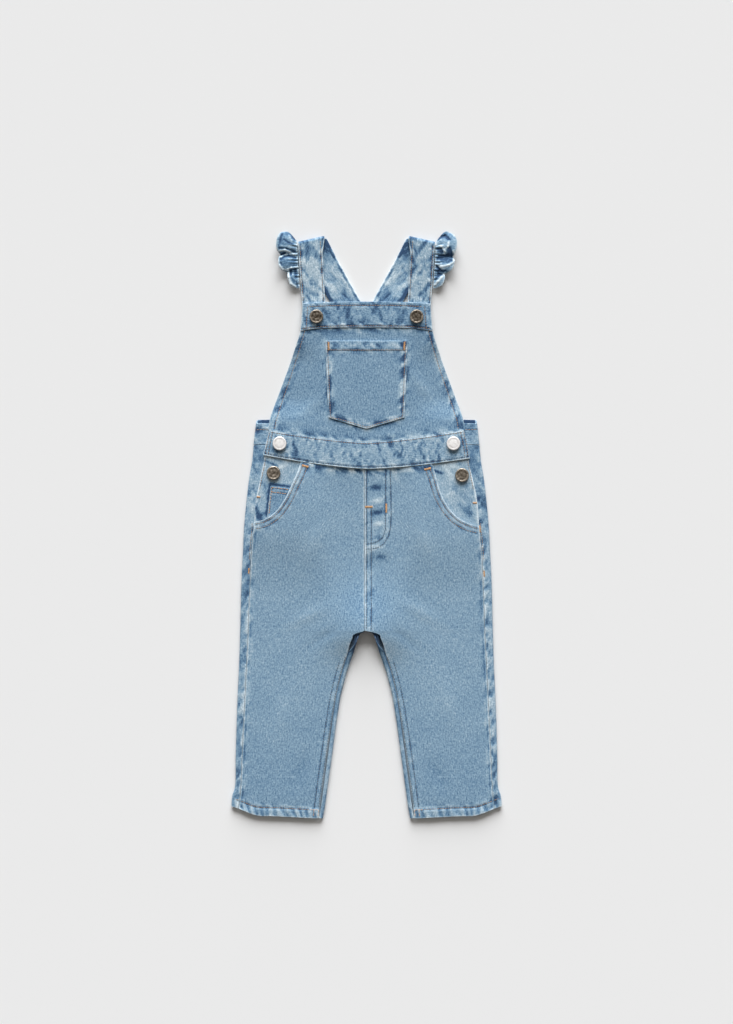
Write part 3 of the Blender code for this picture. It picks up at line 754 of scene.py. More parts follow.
def backPanel(side):
    letter = letters[side]
    fine = {"arc": 10, "flat": 34}
    top = garment["bandSeam"] - garment["gap"]
    levels = np.concatenate([
        garment["hemLine"] + np.array((0, 0.15, 0.45, 0.9, 1.8)),
        np.arange(garment["hemLine"] + 3, top - 1.5, garment["step"]),
        top - np.array((0.9, 0.45, 0.15, 0.0)),
    ])
    rows = []
    for y in levels:
        edge = float(smoothRead(legs, "y", "seam", y) - read(sideLap, "y", "lap", y))
        shape = [float(read(innerTurn, "y", name, y)) for name in ("turn", "flap")]
        outer, inner = float(smoothRead(legs, "y", "outer", y)), float(read(legs, "y", "inner", y))
        rows.append(backSection(outer, edge, inner, *shape, fine))
    spots, ways = (np.array(part) for part in zip(*rows))
    low = ease(-levels, 270, 313)[:, None]
    y = levels[:, None] + hemRise(spots[..., 0]) * low
    half = garment["wall"] / 2
    middle = points(side * (spots[..., 0] - ways[..., 0] * half), y, spots[..., 1] - ways[..., 1] * half)
    x, onTop = side * spots[..., 0], ease(ways[..., 1], -0.2, 0.5)
    # At the crotch the back rises to meet the front
    rise = crotchLift(x, y) * ease(spots[..., 1], 0.5, 4.4)
    meet = 3.3 * ease(-y, 102, 113) * (1 - ease(np.abs(x), 8, 24)) * (1 - ease(spots[..., 1], 0.4, 3.0))
    middle[..., 2] += rise + meet * (1 + crotchLift(x, y) / 4.0)
    sewing = [
        (sided(side, seamLine("seam", -303, 34, 1.5)), 4.4, 0.25, 0.62, 0.0),
        (sided(side, seamLine("outer", -303, 86, -1.5)), 3.0, 0.12, 0.24, 0.0),
        (sided(side, seamLine("inner", -303, -123, 0.5)), 3.0, 0.12, 0.26, 0.0),
    ]
    relief, wear = sewn(x, y, sewing, 51 if side == left else 71)
    # Painted shade: a dark line along the front's edge, where the front lies on the back
    away, along, which = alongLine(x, y, sided(side, seamLine("front", -303, -116, -0.8)))
    wear = wear - 0.9 * np.exp(-((away / 1.1) ** 2))
    hemRelief, hemWear = hemLook(x, y)
    wrinkles = crumple(x + 0.3 * y, y, 7.0, 9) * ease(y, -20, 35)
    relief = (relief + hemRelief + 0.2 * wrinkles) * onTop
    wear = wear * ease(ways[..., 1], -0.6, 0.2) + hemWear + (0.5 * wrinkles - 0.04 * ease(y, 0, 40)) * onTop
    # Under the front's raised crotch the back is deep in shadow: painted shade darkens it, shows its right
    # side on both faces and leaves out its pale worn edges
    deep = np.exp(-(((x / 26) ** 2 + ((y + 120) / 17) ** 2) ** 2))
    pale = 0.8 * (1 - ease(y, 74, 83)) * (1 - np.exp(-((x / 40) ** 2) - ((y + 126) / 30) ** 2))
    makeCloth(
        f"cloth_back_leg_{letter}", middle, garment["wall"], side, relief, wear - 1.1 * deep,
        pale=pale, doubled=deep,
    )


def backBand():
    fine = {"arc": 10, "flat": 30}
    start, top = garment["bandSeam"], garment["backTop"]
    rowsOut, rowsWay, levels = [], [], []
    for t in spaced(top - start, 1.4):
        y = start + (top - start) * t
        edge = float(smoothRead(legs, "y", "seam", y) - read(sideLap, "y", "lap", y))
        spots, ways = backSection(float(smoothRead(legs, "y", "outer", y)), edge, 0.0, 0, 2.0, fine)
        keep = len(spots) - fine["arc"] - 6
        spots, ways = spots[:keep], ways[:keep]
        row = np.concatenate([spots * (-1, 1), [(0.0, 0.0)], spots[::-1]])
        way = np.concatenate([ways * (-1, 1), [(0.0, -1.0)], ways[::-1]])
        rowsOut.append(row)
        rowsWay.append(way)
        hollow = 3.0 * (1 - np.abs(row[:, 0]) / 120) - 4.0 * row[:, 1] / legTop
        levels.append(y + hollow * t**2)
    spots, ways, y = np.array(rowsOut), np.array(rowsWay), np.array(levels)
    half = garment["double"] / 2
    middle = points(spots[..., 0] - ways[..., 0] * half, y, spots[..., 1] - ways[..., 1] * half)
    x, onTop = spots[..., 0], ease(ways[..., 1], -0.3, 0.4)
    across = np.linspace(-121, 121, 60)
    stitched = [(v, 104.5) for v in across]
    relief, wear = sewn(x, y, [(stitched, 4.5, 0.3, 0.45, 0.2)], 91)
    gathers = crumple(x, y, 5.0, 17)
    relief = (relief + 0.22 * gathers) * onTop
    # Painted shade in the hollow where the back waist dips under the bib
    wear = wear - 1.7 * np.exp(-(((np.abs(x) - 110) / 8) ** 2) - ((y - 113.6) / 2.6) ** 2) * (1 - onTop)
    makeCloth(
        "cloth_back_band", middle, garment["double"], -1, relief, wear + 0.5 * gathers - 0.06,
        pale=0.8 * ease(y, 92, 98), grainAcross=True, doubled=True,
    )


facingSize = {"low": -3, "high": 80, "under": 10}
facingCreases = table(
    "x y long wide high turn",
    (95, 64, 26, 6, 0.5, -12),
    (104, 44, 22, 7, -0.45, 8),
    (92, 36, 24, 7, 0.4, 30),
    (110, 24, 18, 7, -0.3, 50),
)
# Fold lines on the hip facings, drawn only in colour: dark ones are painted shade, pale ones painted light
facingFolds = {
    left: table(
        "x y toX toY wide high",
        (109.6, 70.7, 95.6, 65.3, 1.2, -1.0), (119.9, 31.9, 118.8, 20.0, 1.6, -0.7),
        (120.4, 20.0, 112.9, 4.9, 3.0, -1.2), (117.2, 10.3, 108.0, 15.7, 1.6, -1.0),
        (100.0, 60.0, 88.0, 66.0, 2.2, 0.4), (112.0, 48.0, 104.0, 28.0, 2.6, -0.4),
    ),
    right: table(
        "x y toX toY wide high",
        (74.0, 60.0, 81.0, 57.6, 1.4, -1.6), (84.0, 66.0, 92.0, 52.0, 2.6, 0.4),
        (110.7, 21.0, 112.9, 14.6, 2.0, -0.6), (96.0, 40.0, 108.0, 30.0, 2.8, -0.4),
        (100.0, 24.0, 112.0, 12.0, 2.2, -0.6),
    ),
}


def facing(side):
    letter = letters[side]
    low, high = facingSize["low"], facingSize["high"]
    levels = low + (high - low) * spaced(float(high - low))
    outer = smoothRead(legs, "y", "seam", levels)
    inner = np.interp(levels, pocketRows[letter][::-1], pocketRows["x"][::-1]) - facingSize["under"]
    columns = spaced(46.0)
    half = inner[:, None] + (outer - inner)[:, None] * columns
    blend = ease(levels, 40, 80)[:, None]
    y = levels[:, None] + (waistLow(side * half) - garment["gap"] - high) * blend
    middle = points(side * half, y, facingTop - garment["wall"] / 2)
    x = middle[..., 0]
    sewing = [
        (sided(side, seamLine("seam", 34, 73, -1.9)), 2.8, 0.14, 0.34, 0.15),
        ([(v, waistLow(v)) for v in side * np.linspace(66, 112, 16)], 3.2, 0.1, 0.3, 0.0),
    ]
    relief, wear = sewn(x, y, sewing, 101 if side == left else 111)
    # On the left, painted shadow along the coin pocket's edges
    if side == left:
        away, along, which = alongLine(x, y, coinRows["shadow"])
        wear = wear - 1.6 * np.exp(-((away / 1.4) ** 2))
    shape = creases(facingCreases, np.abs(x), y) + 0.2 * crumple(x, y, 8.0, 107)
    # Paler overall; creases make it paler on their crests and darker in their hollows, and the strokes add
    # painted shade and light along the folds and under the waistband's edge
    fadeAndFoldShade = 0.24 + 0.7 * shape + strokes(facingFolds[side], np.abs(x), y)
    makeCloth(
        f"cloth_hip_facing_{letter}", middle, garment["wall"], side,
        relief + 0.25 * shape, wear + fadeAndFoldShade, pale=1.1, paleWidth=1.5,
    )


coinSides = table(
    "y outer inner",
    (10, 107.0, 99.0),
    (20, 106.0, 88.0),
    (32, 104.6, 80.5),
    (40, 103.7, 78.0),
    (43.5, 103.4, 78.0),
)
coinRows = {
    "shadow": [(-80.0, 42.6), (-92, 44.4), (-103.8, 46.0), (-105.0, 38), (-106.6, 22), (-107.6, 12)],
    "top": [(-102.2, 42.2), (-92, 40.9), (-84, 40.0)],
    "second": [(-102.4, 37.2), (-92, 35.9), (-86, 35.2)],
    "side": [(-102.0, 42.0), (-103.4, 30), (-104.6, 18), (-105.2, 13.6)],
}


def coinPocket():
    low, deep = coinSides["y"][0], coinSides["y"][-1] - coinSides["y"][0]
    levels = low + deep * spaced(deep, 1.3)
    columns = spaced(26.0, 1.3)
    outer, inner = (read(coinSides, "y", name, levels) for name in ("outer", "inner"))
    half = outer[:, None] + (inner - outer)[:, None] * columns
    y = levels[:, None] - 3.0 * columns
    middle = points(-half, y, facingTop + garment["gap"] + garment["wall"] / 2)
    sewing = [
        (coinRows["top"], 2.2, 0.1, 0.3, 0.14),
        (coinRows["second"], 2.4, 0.1, 0.3, 0.14),
        (coinRows["side"], 2.2, 0.1, 0.3, 0.14),
    ]
    relief, wear = sewn(middle[..., 0], y, sewing, 121)
    makeCloth("cloth_coin_pocket", middle, garment["wall"], 1, relief, wear - 0.2)


def bandLine(low, share, count=60, halfLow=109.6, halfHigh=103.2):
    x = np.linspace(-1, 1, count) * (halfLow + (halfHigh - halfLow) * share)
    return [(v, waistLow(v) + (waistHigh(v) - waistLow(v)) * share + low) for v in x]


def waistband():
    across = 2 * spaced(222.0, waist["cell"]) - 1
    grid = []
    for t in spaced(29.0, waist["cell"]):
        half = waist["halfLow"] + (waist["halfHigh"] - waist["halfLow"]) * t
        x = across * half
        y = waistLow(x) + (waistHigh(x) - waistLow(x)) * t
        puffed = waist["puff"] * math.sin(math.pi * t)
        grid.append(points(x, y, garment["waistbandUnder"] + garment["waistbandWall"] / 2 + puffed / 2))
    middle = np.array(grid)
    x, y = middle[..., 0], middle[..., 1]
    sewing = [
        (waistRows["low"], 3.6, 0.1, 0.35, 0.16),
        (waistRows["high"], 4.0, 0.1, 0.35, 0.16),
    ]
    for name in ("leftOuter", "leftInner", "rightOuter", "rightInner"):
        sewing.append((waistRows[name], 2.0, 0.1, 0.2, 0.16))
    relief, wear = sewn(x, y, sewing, 131)
    pulls = crumple(x, y, 6.4, 137)
    makeCloth(
        "cloth_waistband_front", middle, garment["waistbandWall"], 1, relief + 0.08 * pulls,
        wear + 0.56 * pulls - 0.04, pale=1.1, paleWidth=1.0, grainAcross=True, rim=0.35, doubled=True,
    )


waistRows = {
    "low": bandLine(2.3, 0.0),
    "high": bandLine(-1.6, 1.0),
    "leftOuter": [(-104.6, 101.5), (-107.4, 88), (-108.9, 78.5)],
    "leftInner": [(-101.2, 101.0), (-104.2, 88), (-105.8, 78.2)],
    "rightOuter": [(104.8, 101.8), (107.8, 88), (109.2, 76)],
    "rightInner": [(101.4, 101.2), (104.4, 88), (106.0, 75.6)],
}


# The bib, its pocket and its band: their levels, half widths, and how far their ends drop
bibSize = {"low": 98.0, "high": 214.2, "drop": 3.6, "cell": 1.6}
bibPocketSize = {"high": 200.3, "corner": 117.5, "point": 12.4, "half": 41.0, "widens": 3.3, "cell": 1.4}
bibBandSize = {"low": 214.5, "deep": 28.0, "half": 71.2, "narrows": 2.4, "dropLow": 3.6, "dropHigh": 2.0}
bibBandSize |= {"puff": 0.25, "cell": 0.85}


def bibSide(side, away):
    y = np.linspace(97, 211, 30)
    return [(side * (float(read(bibSides, "y", "half", v)) - away), v) for v in y]


def bibPanel():
    across = 2 * spaced(190.0, bibSize["cell"]) - 1
    grid = []
    for t in spaced(118.0, bibSize["cell"]):
        level = bibSize["low"] + (bibSize["high"] - bibSize["low"]) * t
        x = across * float(smoothRead(bibSides, "y", "half", level))
        low = waistHigh(x) + garment["gap"]
        high = bibSize["high"] - bibSize["drop"] * np.abs(across) ** 4
        grid.append(points(x, low + (high - low) * t, 0.0))
    middle = np.array(grid)
    x, y = middle[..., 0], middle[..., 1]
    middle[..., 2] = bibUnder(x, y) + garment["wall"] / 2
    across = np.linspace(-1, 1, 30)
    sewing = [
        (bibSide(left, 5.0), 4.4, 0.16, 0.6, 0.16),
        (bibSide(right, 5.0), 4.4, 0.16, 0.6, 0.16),
        ([(v, waistHigh(v)) for v in across * 102], 6.0, 0.12, 0.6, 0.0),
        ([(v, 213.5 - 3.4 * abs(v / 71) ** 4) for v in across * 70], 5.0, 0.12, 0.65, 0.0),
        (pocketEdge(-1.0), 3.2, 0.06, 0.4, 0.0),
    ]
    relief, wear = sewn(x, y, sewing, 151)
    wear = wear + 0.3 * creases(bibCreases, x, y) - 0.17
    makeCloth("cloth_bib", middle, garment["wall"], 1, relief, wear)


# The bib pocket's sides and pointed lower edge, moved in
def pocketEdge(away):
    return [(-44.3 + away, 200.3), (-42.6 + away, 160), (-41.0 + away, 117.5 + away * 0.3),
            (-20.5, 111.3 + away), (0, 105.1 + away * 1.05), (20.5, 111.3 + away),
            (41.0 - away, 117.5 + away * 0.3), (42.6 - away, 160), (44.3 - away, 200.3)]


def bibPocket():
    size = bibPocketSize
    across = 2 * spaced(86.0, size["cell"]) - 1
    grid = []
    for t in spaced(90.0, size["cell"]):
        x = across * (size["half"] + size["widens"] * t)
        low = size["corner"] - size["point"] * (1 - np.abs(across))
        grid.append(points(x, low + (size["high"] - low) * t, 0.0))
    middle = np.array(grid)
    x, y = middle[..., 0], middle[..., 1]
    hem = 0.4 * ease(y, 189.6, 190.6)
    middle[..., 2] = bibUnder(x, y) + 1.5 * garment["wall"] + garment["gap"]
    sewing = [
        (pocketEdge(3.0), 4.0, 0.12, 0.75, 0.16),
        ([(-42.0, 190.4), (0, 190.2), (42.0, 190.4)], 3.6, 0.1, 0.5, 0.18),
        ([(-44.3, 195.0), (44.3, 195.0)], 3.4, 0.12, 0.75, 0.0),
    ]
    relief, wear = sewn(x, y, sewing, 171)
    makeCloth("cloth_bib_pocket", middle, garment["wall"], 1, relief + hem, wear - 0.14, pale=1.0)


bandRows = {
    "top": [(v, 242.5 - 2.0 * abs(v / 68.8) ** 3 - 4.2) for v in np.linspace(-62, 59.5, 40)],
    "low": [(v, 214.5 - 3.6 * abs(v / 71.2) ** 4 + 1.7) for v in np.linspace(-69.5, 68.5, 40)],
    "left": [(-63.4, 237.4), (-65.0, 213.5)],
    "right": [(62.6, 237.4), (64.4, 213.5)],
}


def bibBand():
    size = bibBandSize
    across = 2 * spaced(140.0, size["cell"]) - 1
    grid = []
    for t in spaced(size["deep"], size["cell"]):
        x = across * (size["half"] - size["narrows"] * t)
        y = size["low"] - size["dropLow"] * np.abs(across) ** 4 * (1 - t)
        y = y + size["deep"] * t - size["dropHigh"] * np.abs(across) ** 3 * t
        puffed = size["puff"] * math.sin(math.pi * t)
        grid.append(points(x, y, garment["bibUnder"] + garment["bandWall"] / 2 + puffed / 2))
    middle = np.array(grid)
    x, y = middle[..., 0], middle[..., 1]
    sewing = [
        (bandRows["top"], 3.6, 0.22, 0.45, 0.22),
        (bandRows["low"], 4.4, 0.3, 0.7, 0.25),
        (bandRows["left"], 2.6, 0.14, 0.3, 0.18),
        (bandRows["right"], 2.6, 0.14, 0.3, 0.18),
    ]
    relief, wear = sewn(x, y, sewing, 181)
    pulls = crumple(x, y, 6.4, 187)
    makeCloth(
        "cloth_bib_band", middle, garment["bandWall"], 1, relief + 0.07 * pulls,
        wear + 0.42 * pulls - 0.2, pale=1.0, grainAcross=True, rim=0.45, doubled=True,
    )


strapFine = {"front": 110, "back": 250, "width": 26.0, "cell": 0.9}
strapRows = table(
    "row outer outerY inner innerY under over",
    (0, 67.3, 216.0, 43.0, 219.0, 3.7, 3.7),
    (1, 68.8, 232.0, 44.0, 235.0, 3.7, 3.7),
    (2, 70.2, 250.0, 45.2, 254.0, 3.9, 3.9),
    (3, 71.8, 272.0, 46.4, 277.0, 4.5, 4.5),
    (4, 73.0, 290.0, 47.4, 295.0, 5.1, 5.1),
    (5, 73.6, 304.2, 45.0, 310.6, 5.4, 5.4),
    (6, 73.6, 304.2, 42.8, 310.6, 1.0, 1.0),
    (7, 62.4, 285.0, 32.7, 290.4, 1.0, 1.0),
    (8, 49.4, 259.7, 18.8, 265.4, 1.0, 1.0),
    (9, 34.8, 234.7, 4.8, 240.4, 1.0, 2.6),
    (10, 22.6, 214.8, -5.6, 220.4, 1.0, 3.3),
    (11, 0.6, 180.0, -25.0, 185.4, 1.0, 3.3),
    (12, -12.6, 155.0, -38.0, 160.4, 1.0, 2.6),
    (13, -23.6, 133.0, -49.0, 138.4, 1.2, 1.2),
    (14, -30.0, 120.0, -55.5, 124.0, 2.9, 2.9),
    (15, -39.0, 104.0, -64.0, 106.0, 2.9, 2.9),
)
shoulderRow = 5
strapFolds = table(
    "x y long wide high turn",
    (9, 62, 34, 7, 1.0, 62),
    (15, 74, 30, 6, -1.0, 68),
    (5, 80, 26, 6, -0.9, 55),
    (20, 52, 30, 8, 0.5, 80),
)


# Rows of the strap's outer edge, inner edge and height, finely spaced, over the shoulder
def strapPath(side):
    column = "under" if side == left else "over"
    frontAt = np.concatenate([(0, 0.004, 0.012, 0.03), np.linspace(0.08, shoulderRow, strapFine["front"])])
    backAt = np.linspace(shoulderRow + 1, 14.9, strapFine["back"])
    backAt = np.concatenate([backAt, [14.955, 14.98, 14.993, 15.0]])
    rows = []
    for at, low in ((frontAt, 0), (backAt, shoulderRow + 1)):
        part = {k: (c[: shoulderRow + 1] if low == 0 else c[low:]) for k, c in strapRows.items()}
        found = [read(part, "row", k, at) for k in ("outer", "outerY", "inner", "innerY")]
        found.append(smoothRead(part, "row", column, at))
        rows.append(np.stack(found, axis=1))
    front, back = rows
    high, low = front[-1, 4], back[0, 4]
    radius = (high - low) / 2
    line = front[-1, 2:4] - front[-1, 0:2]
    up = np.array((-line[1], line[0])) / np.hypot(*line)
    up = up if up[1] > 0 else -up
    bend = []
    for t in np.linspace(0, 1, 13)[1:-1]:
        angle = math.pi / 2 - math.pi * t
        row = front[-1].copy()
        row[0:2] += up * radius * math.cos(angle)
        row[2:4] += up * radius * math.cos(angle)
        row[4] = low + radius * (1 + math.sin(angle))
        bend.append(row)
    return np.concatenate([front, bend, back])


def strap(side):
    letter = letters[side]
    path = strapPath(side)
    across = spaced(strapFine["width"], strapFine["cell"])
    outer = points(side * path[:, 0], path[:, 1], path[:, 4])
    inner = points(side * path[:, 2], path[:, 3], path[:, 4])
    middle = outer[:, None] + (inner - outer)[:, None] * across[None, :, None]
    run = np.concatenate([[0], np.cumsum(np.linalg.norm(np.diff((outer + inner) / 2, axis=0), axis=1))])
    place = np.broadcast_to(across * strapFine["width"], middle.shape[:2])
    along = np.broadcast_to(run[:, None], middle.shape[:2])
    total = float(run[-1])
    rows = [([(edge, 0), (edge, total)], 3.2, 0.24, 0.5, 0.2) for edge in (1.9, 24.1)]
    relief, wear = sewn(place, along, rows, 201 if side == left else 221)
    pulls = crumple(place + 0.25 * along, along, 6.5, 205 + side)
    front = float(run[strapFine["front"] + 3])
    onBack = ease(along, front + 6, front + 14)
    shape = creases(strapFolds, place, along - front) * onBack
    tone = wear + (0.62 - 0.24 * onBack) * pulls + 0.9 * shape
    tone = tone + 0.2 - 0.06 * side * (1 - onBack) - 0.16 * onBack
    # Painted shade in the hollow inside the fold at the shoulder, and where the strap comes out of the bib
    tone = tone - 1.5 * onBack * np.exp(-(((along - front - 12) / 15) ** 2)) * ease(place, 10, 22)
    tone = tone - 1.8 * onBack * np.exp(-(((along - front - 66) / 9) ** 2)) * (1 - ease(place, 1.5, 6))
    # The fold at the top faces the light, so painted shade darkens it
    tone = tone - 0.85 * np.exp(-(((along - front - 4) / 4.2) ** 2))
    # On its way back the strap lies on the floor, so its unevenness is all on the upper face
    middle[..., 2] += onBack * 0.14 * (1.4 + pulls + shape)
    relief = (relief + 0.08 * pulls) * (1 - ease(along, front - 2, front + 3))
    makeCloth(
        f"cloth_strap_{letter}", middle, garment["strapWall"], -side, relief, tone,
        pale=0.9, rim=0.9, doubled=True,
    )


# The ruffle: along its seam, with the direction it points in, its depth, its height at the free
# edge, and its waves: crests at a phase of 0.25, 1.25 and 2.25, narrow hollows between them
ruffleRows = table(
    "along x y z turn reach lift wave phase bulge",
    (0.00, 71.6, 257.0, 4.0, 0, 2.5, 4.0, 0.3, -0.05, 0.0),
    (0.05, 71.8, 260.8, 4.2, -6, 9.0, 5.2, 1.8, 0.1, 0.0),
    (0.12, 72.2, 266.6, 4.4, -6, 12.0, 6.0, 3.2, 0.32, 0.0),
    (0.20, 72.7, 273.6, 4.6, -4, 13.5, 6.6, 4.0, 0.66, 0.0),
    (0.30, 73.3, 282.0, 4.8, -3, 20.5, 7.2, 4.6, 1.12, 0.0),
    (0.43, 73.9, 293.0, 5.2, 0, 21.0, 7.6, 4.8, 1.74, 0.0),
    (0.55, 74.3, 302.5, 5.4, 8, 23.0, 7.6, 4.2, 2.22, 0.6),
    (0.64, 74.8, 306.2, 4.7, 30, 20.0, 6.2, 2.8, 2.55, 2.6),
    (0.71, 75.0, 307.2, 3.2, 37, 17.0, 4.2, 1.4, 2.8, 4.2),
    (0.78, 74.8, 305.0, 1.4, 18, 18.5, 1.2, 0.35, 3.1, 1.0),
    (0.85, 71.6, 299.8, 1.0, -10, 19.0, 1.0, 0.3, 3.5, 0.0),
    (0.93, 62.2, 283.2, 1.0, -29, 18.0, 1.0, 0.3, 4.2, 0.0),
    (1.00, 53.6, 267.8, 1.0, -29, 3.0, 1.0, 0.1, 4.8, 0.0),
)


# Its folds and frayed rims as the photograph shows them, with x as a half width
# Dark strokes are painted shade in the folds' hollows; pale ones are painted light on the folds and the
# pale frayed rims
ruffleFolds = {
    left: table(
        "x y toX toY wide high",
        (91.0, 314.7, 93.1, 308.5, 1.7, -0.9), (93.1, 308.5, 94.7, 301.9, 1.4, -0.6),
        (86.2, 315.1, 80.9, 313.9, 1.7, -0.5), (88.8, 309.3, 84.0, 305.8, 1.2, -1.2),
        (84.0, 305.8, 79.4, 304.8, 1.1, -1.2), (92.5, 305.4, 87.1, 303.1, 1.9, -0.35),
        (83.6, 313.3, 80.2, 306.6, 1.2, 0.9), (80.2, 310.8, 75.9, 309.7, 2.2, -0.9),
        (91.0, 302.2, 80.2, 302.2, 1.3, 0.45), (94.0, 299.9, 86.2, 299.4, 1.2, -1.2),
        (86.2, 299.4, 77.2, 296.8, 1.1, -1.3), (93.7, 297.1, 87.9, 298.0, 1.1, 1.5),
        (87.9, 298.0, 82.9, 295.8, 1.2, 1.5), (82.9, 295.8, 76.7, 292.9, 1.0, 1.1),
        (91.9, 293.2, 88.2, 294.9, 1.1, -2.6), (92.1, 290.6, 86.2, 293.5, 1.0, 1.6),
        (83.2, 293.5, 76.7, 291.7, 0.9, 0.6), (92.6, 287.8, 88.5, 291.2, 1.2, -1.6),
        (88.5, 291.2, 83.9, 291.8, 1.2, -1.4), (83.9, 291.8, 76.7, 289.6, 1.1, -1.5),
        (89.8, 285.4, 76.3, 283.8, 4.4, -0.5), (87.9, 288.4, 80.9, 288.4, 1.3, 0.5),
        (92.5, 283.8, 91.7, 281.5, 1.1, -1.0), (93.3, 281.1, 91.0, 276.5, 1.3, 1.4),
        (91.0, 276.5, 85.2, 276.9, 1.3, 1.3), (85.2, 276.9, 80.9, 279.0, 1.0, 1.3),
        (80.9, 279.0, 75.7, 279.8, 0.9, 1.1), (81.5, 276.7, 81.8, 272.2, 1.5, -1.7),
        (77.5, 277.6, 76.1, 269.2, 2.3, -0.8), (79.8, 276.9, 79.4, 271.5, 0.9, 0.7),
        (83.9, 274.9, 83.9, 268.4, 1.0, 1.3), (83.9, 268.4, 81.3, 261.4, 1.2, 1.3),
        (81.3, 261.4, 76.7, 258.7, 1.2, 1.3), (80.5, 267.2, 78.2, 263.8, 1.4, -0.8),
        (75.5, 263.8, 74.8, 259.1, 1.0, -0.9),
    ),
    right: table(
        "x y toX toY wide high",
        (75.5, 310.2, 80.2, 312.7, 1.3, -2.6), (80.2, 312.7, 84.8, 313.4, 1.5, -2.6),
        (84.8, 313.4, 88.9, 309.4, 1.5, -2.4), (77.8, 307.7, 87.1, 305.8, 3.0, 0.25),
        (88.9, 307.3, 87.9, 301.6, 1.0, 1.3), (87.9, 301.6, 84.8, 298.9, 0.9, 0.8),
        (80.8, 302.2, 84.2, 296.9, 1.1, 1.0), (84.2, 296.9, 84.0, 292.7, 1.0, 0.9),
        (75.5, 303.5, 79.8, 302.2, 1.1, 0.5), (76.3, 299.6, 80.9, 296.5, 2.3, -1.0),
        (80.9, 299.2, 82.1, 295.8, 1.1, -1.0), (76.3, 293.5, 84.0, 293.7, 1.0, 0.5),
        (78.2, 291.3, 87.1, 292.6, 1.1, -2.6), (89.4, 299.9, 90.3, 296.9, 1.7, -2.0),
        (91.7, 295.0, 92.6, 290.4, 1.3, -1.4), (87.9, 297.7, 89.0, 293.1, 1.8, -0.9),
        (91.3, 286.9, 92.5, 285.7, 1.2, -1.6), (93.4, 296.9, 95.1, 290.0, 1.0, 1.4),
        (95.1, 290.0, 94.0, 285.4, 1.0, 1.4), (94.0, 285.4, 88.6, 281.6, 1.1, 1.5),
        (88.6, 281.6, 80.9, 280.3, 1.3, 1.5), (80.9, 280.3, 76.0, 282.1, 1.1, 1.3),
        (80.9, 287.7, 88.6, 286.1, 3.9, -0.8), (76.3, 288.4, 80.2, 289.1, 1.1, -1.0),
        (77.8, 286.5, 80.9, 283.8, 1.0, 0.7), (76.1, 281.3, 78.8, 276.7, 1.3, -2.6),
        (78.8, 276.7, 84.4, 275.5, 1.2, -2.2), (79.5, 279.2, 82.6, 277.0, 1.2, 1.2),
        (74.4, 276.9, 77.8, 271.5, 1.9, -1.2), (77.8, 271.5, 74.4, 267.2, 1.7, -1.2),
        (75.4, 276.1, 75.9, 269.9, 0.9, 1.0), (84.8, 274.2, 80.9, 268.4, 1.0, 1.3),
        (80.9, 268.4, 77.1, 264.4, 1.1, 1.4), (77.1, 264.4, 74.1, 260.7, 1.0, 1.3),
        (77.8, 273.0, 81.3, 271.5, 1.1, -1.0),
    ),
}


def ruffle(side):
    letter = letters[side]
    along = np.linspace(0, 1, 300)
    place = {k: smoothRead(ruffleRows, "along", k, along) for k in ruffleRows}
    turn = np.radians(place["turn"])
    phase = math.tau * (place["phase"] + (0.0 if side == left else 0.12))
    hollow = (0.5 - 0.5 * np.sin(phase)) ** 1.5
    wave = 1 - 2 * hollow
    full = np.clip(place["wave"] / 4.0, 0, 1)
    gathers = np.sin(phase * 4.0 + 1.3) * 0.6 + 0.4 * np.sin(phase * 6.3 + 0.4)
    seamRun = np.gradient(points(place["x"], place["y"], 0.0), axis=0)
    seamRun /= np.maximum(np.linalg.norm(seamRun, axis=1, keepdims=True), 1e-9)
    middle, wear = [], []
    for t in spaced(24.0, 0.9):
        sway = -2.1 * np.cos(phase) * t**1.2 * full
        tuck = math.exp(-(((t - 0.12) / 0.3) ** 2))
        reach = place["reach"] * t * (1 - 0.10 * hollow * full * t)
        bow = place["bulge"] * math.sin(math.pi * t)
        x = place["x"] + garment["gap"] + reach * np.cos(turn) + 0.3 * bow
        y = place["y"] + reach * np.sin(turn) + bow
        z = place["z"] + (place["lift"] - place["z"]) * t + place["wave"] * wave * t**0.7 * 0.55
        z = z + 0.75 * gathers * tuck * full
        middle.append(points(side * x, y, z) + seamRun * (side, 1, 1) * sway[:, None])
        frayed = 0.42 * rough(along * 130, np.full(along.shape, t * 20), 3.4, 3)
        gatherShading = 0.75 * gathers * tuck * full
        # Painted shade in the hollows between waves, painted light on their crests, and painted light and
        # shade on the gathers by the seam; the frayed noise is the cloth's own
        wear.append(-0.36 - 0.7 * hollow * full + 0.14 * wave + gatherShading + frayed)
    middle, wear = np.array(middle), np.array(wear) * 0.3 - 0.02
    onBack = ease(along, 0.7, 0.8)[None, :]
    # Painted shade and light of the folds, with the pale frayed rims
    drawn = strokes(ruffleFolds[side], np.abs(middle[..., 0]), middle[..., 1]) * (1 - onBack)
    wear = wear + 0.9 * drawn
    middle[..., 2] += 0.35 * drawn
    makeCloth(
        f"cloth_ruffle_{letter}", middle, garment["ruffleWall"], -side, 0.0,
        wear * (1 - onBack) - 0.1 * onBack, pale=1.1, paleWidth=1.5, rim=0.45,
    )


backBand()
for side in (left, right):
    backPanel(side)
    facing(side)
coinPocket()
for side in (left, right):
    frontPanel(side)
    strap(side)
    ruffle(side)
waistband()
bibPanel()
bibPocket()
bibBand()
print("cloth made:", len(made), "pieces")


# Topstitching: a low grain for each stitch, lying on the cloth
def surfaceAt(piece, x, y):
    spot, normal, index, away = made[piece].ray_cast(Vector((x, y, 60.0)), Vector((0, 0, -1)))
    return spot, -normal if spot and normal.z < 0 else normal


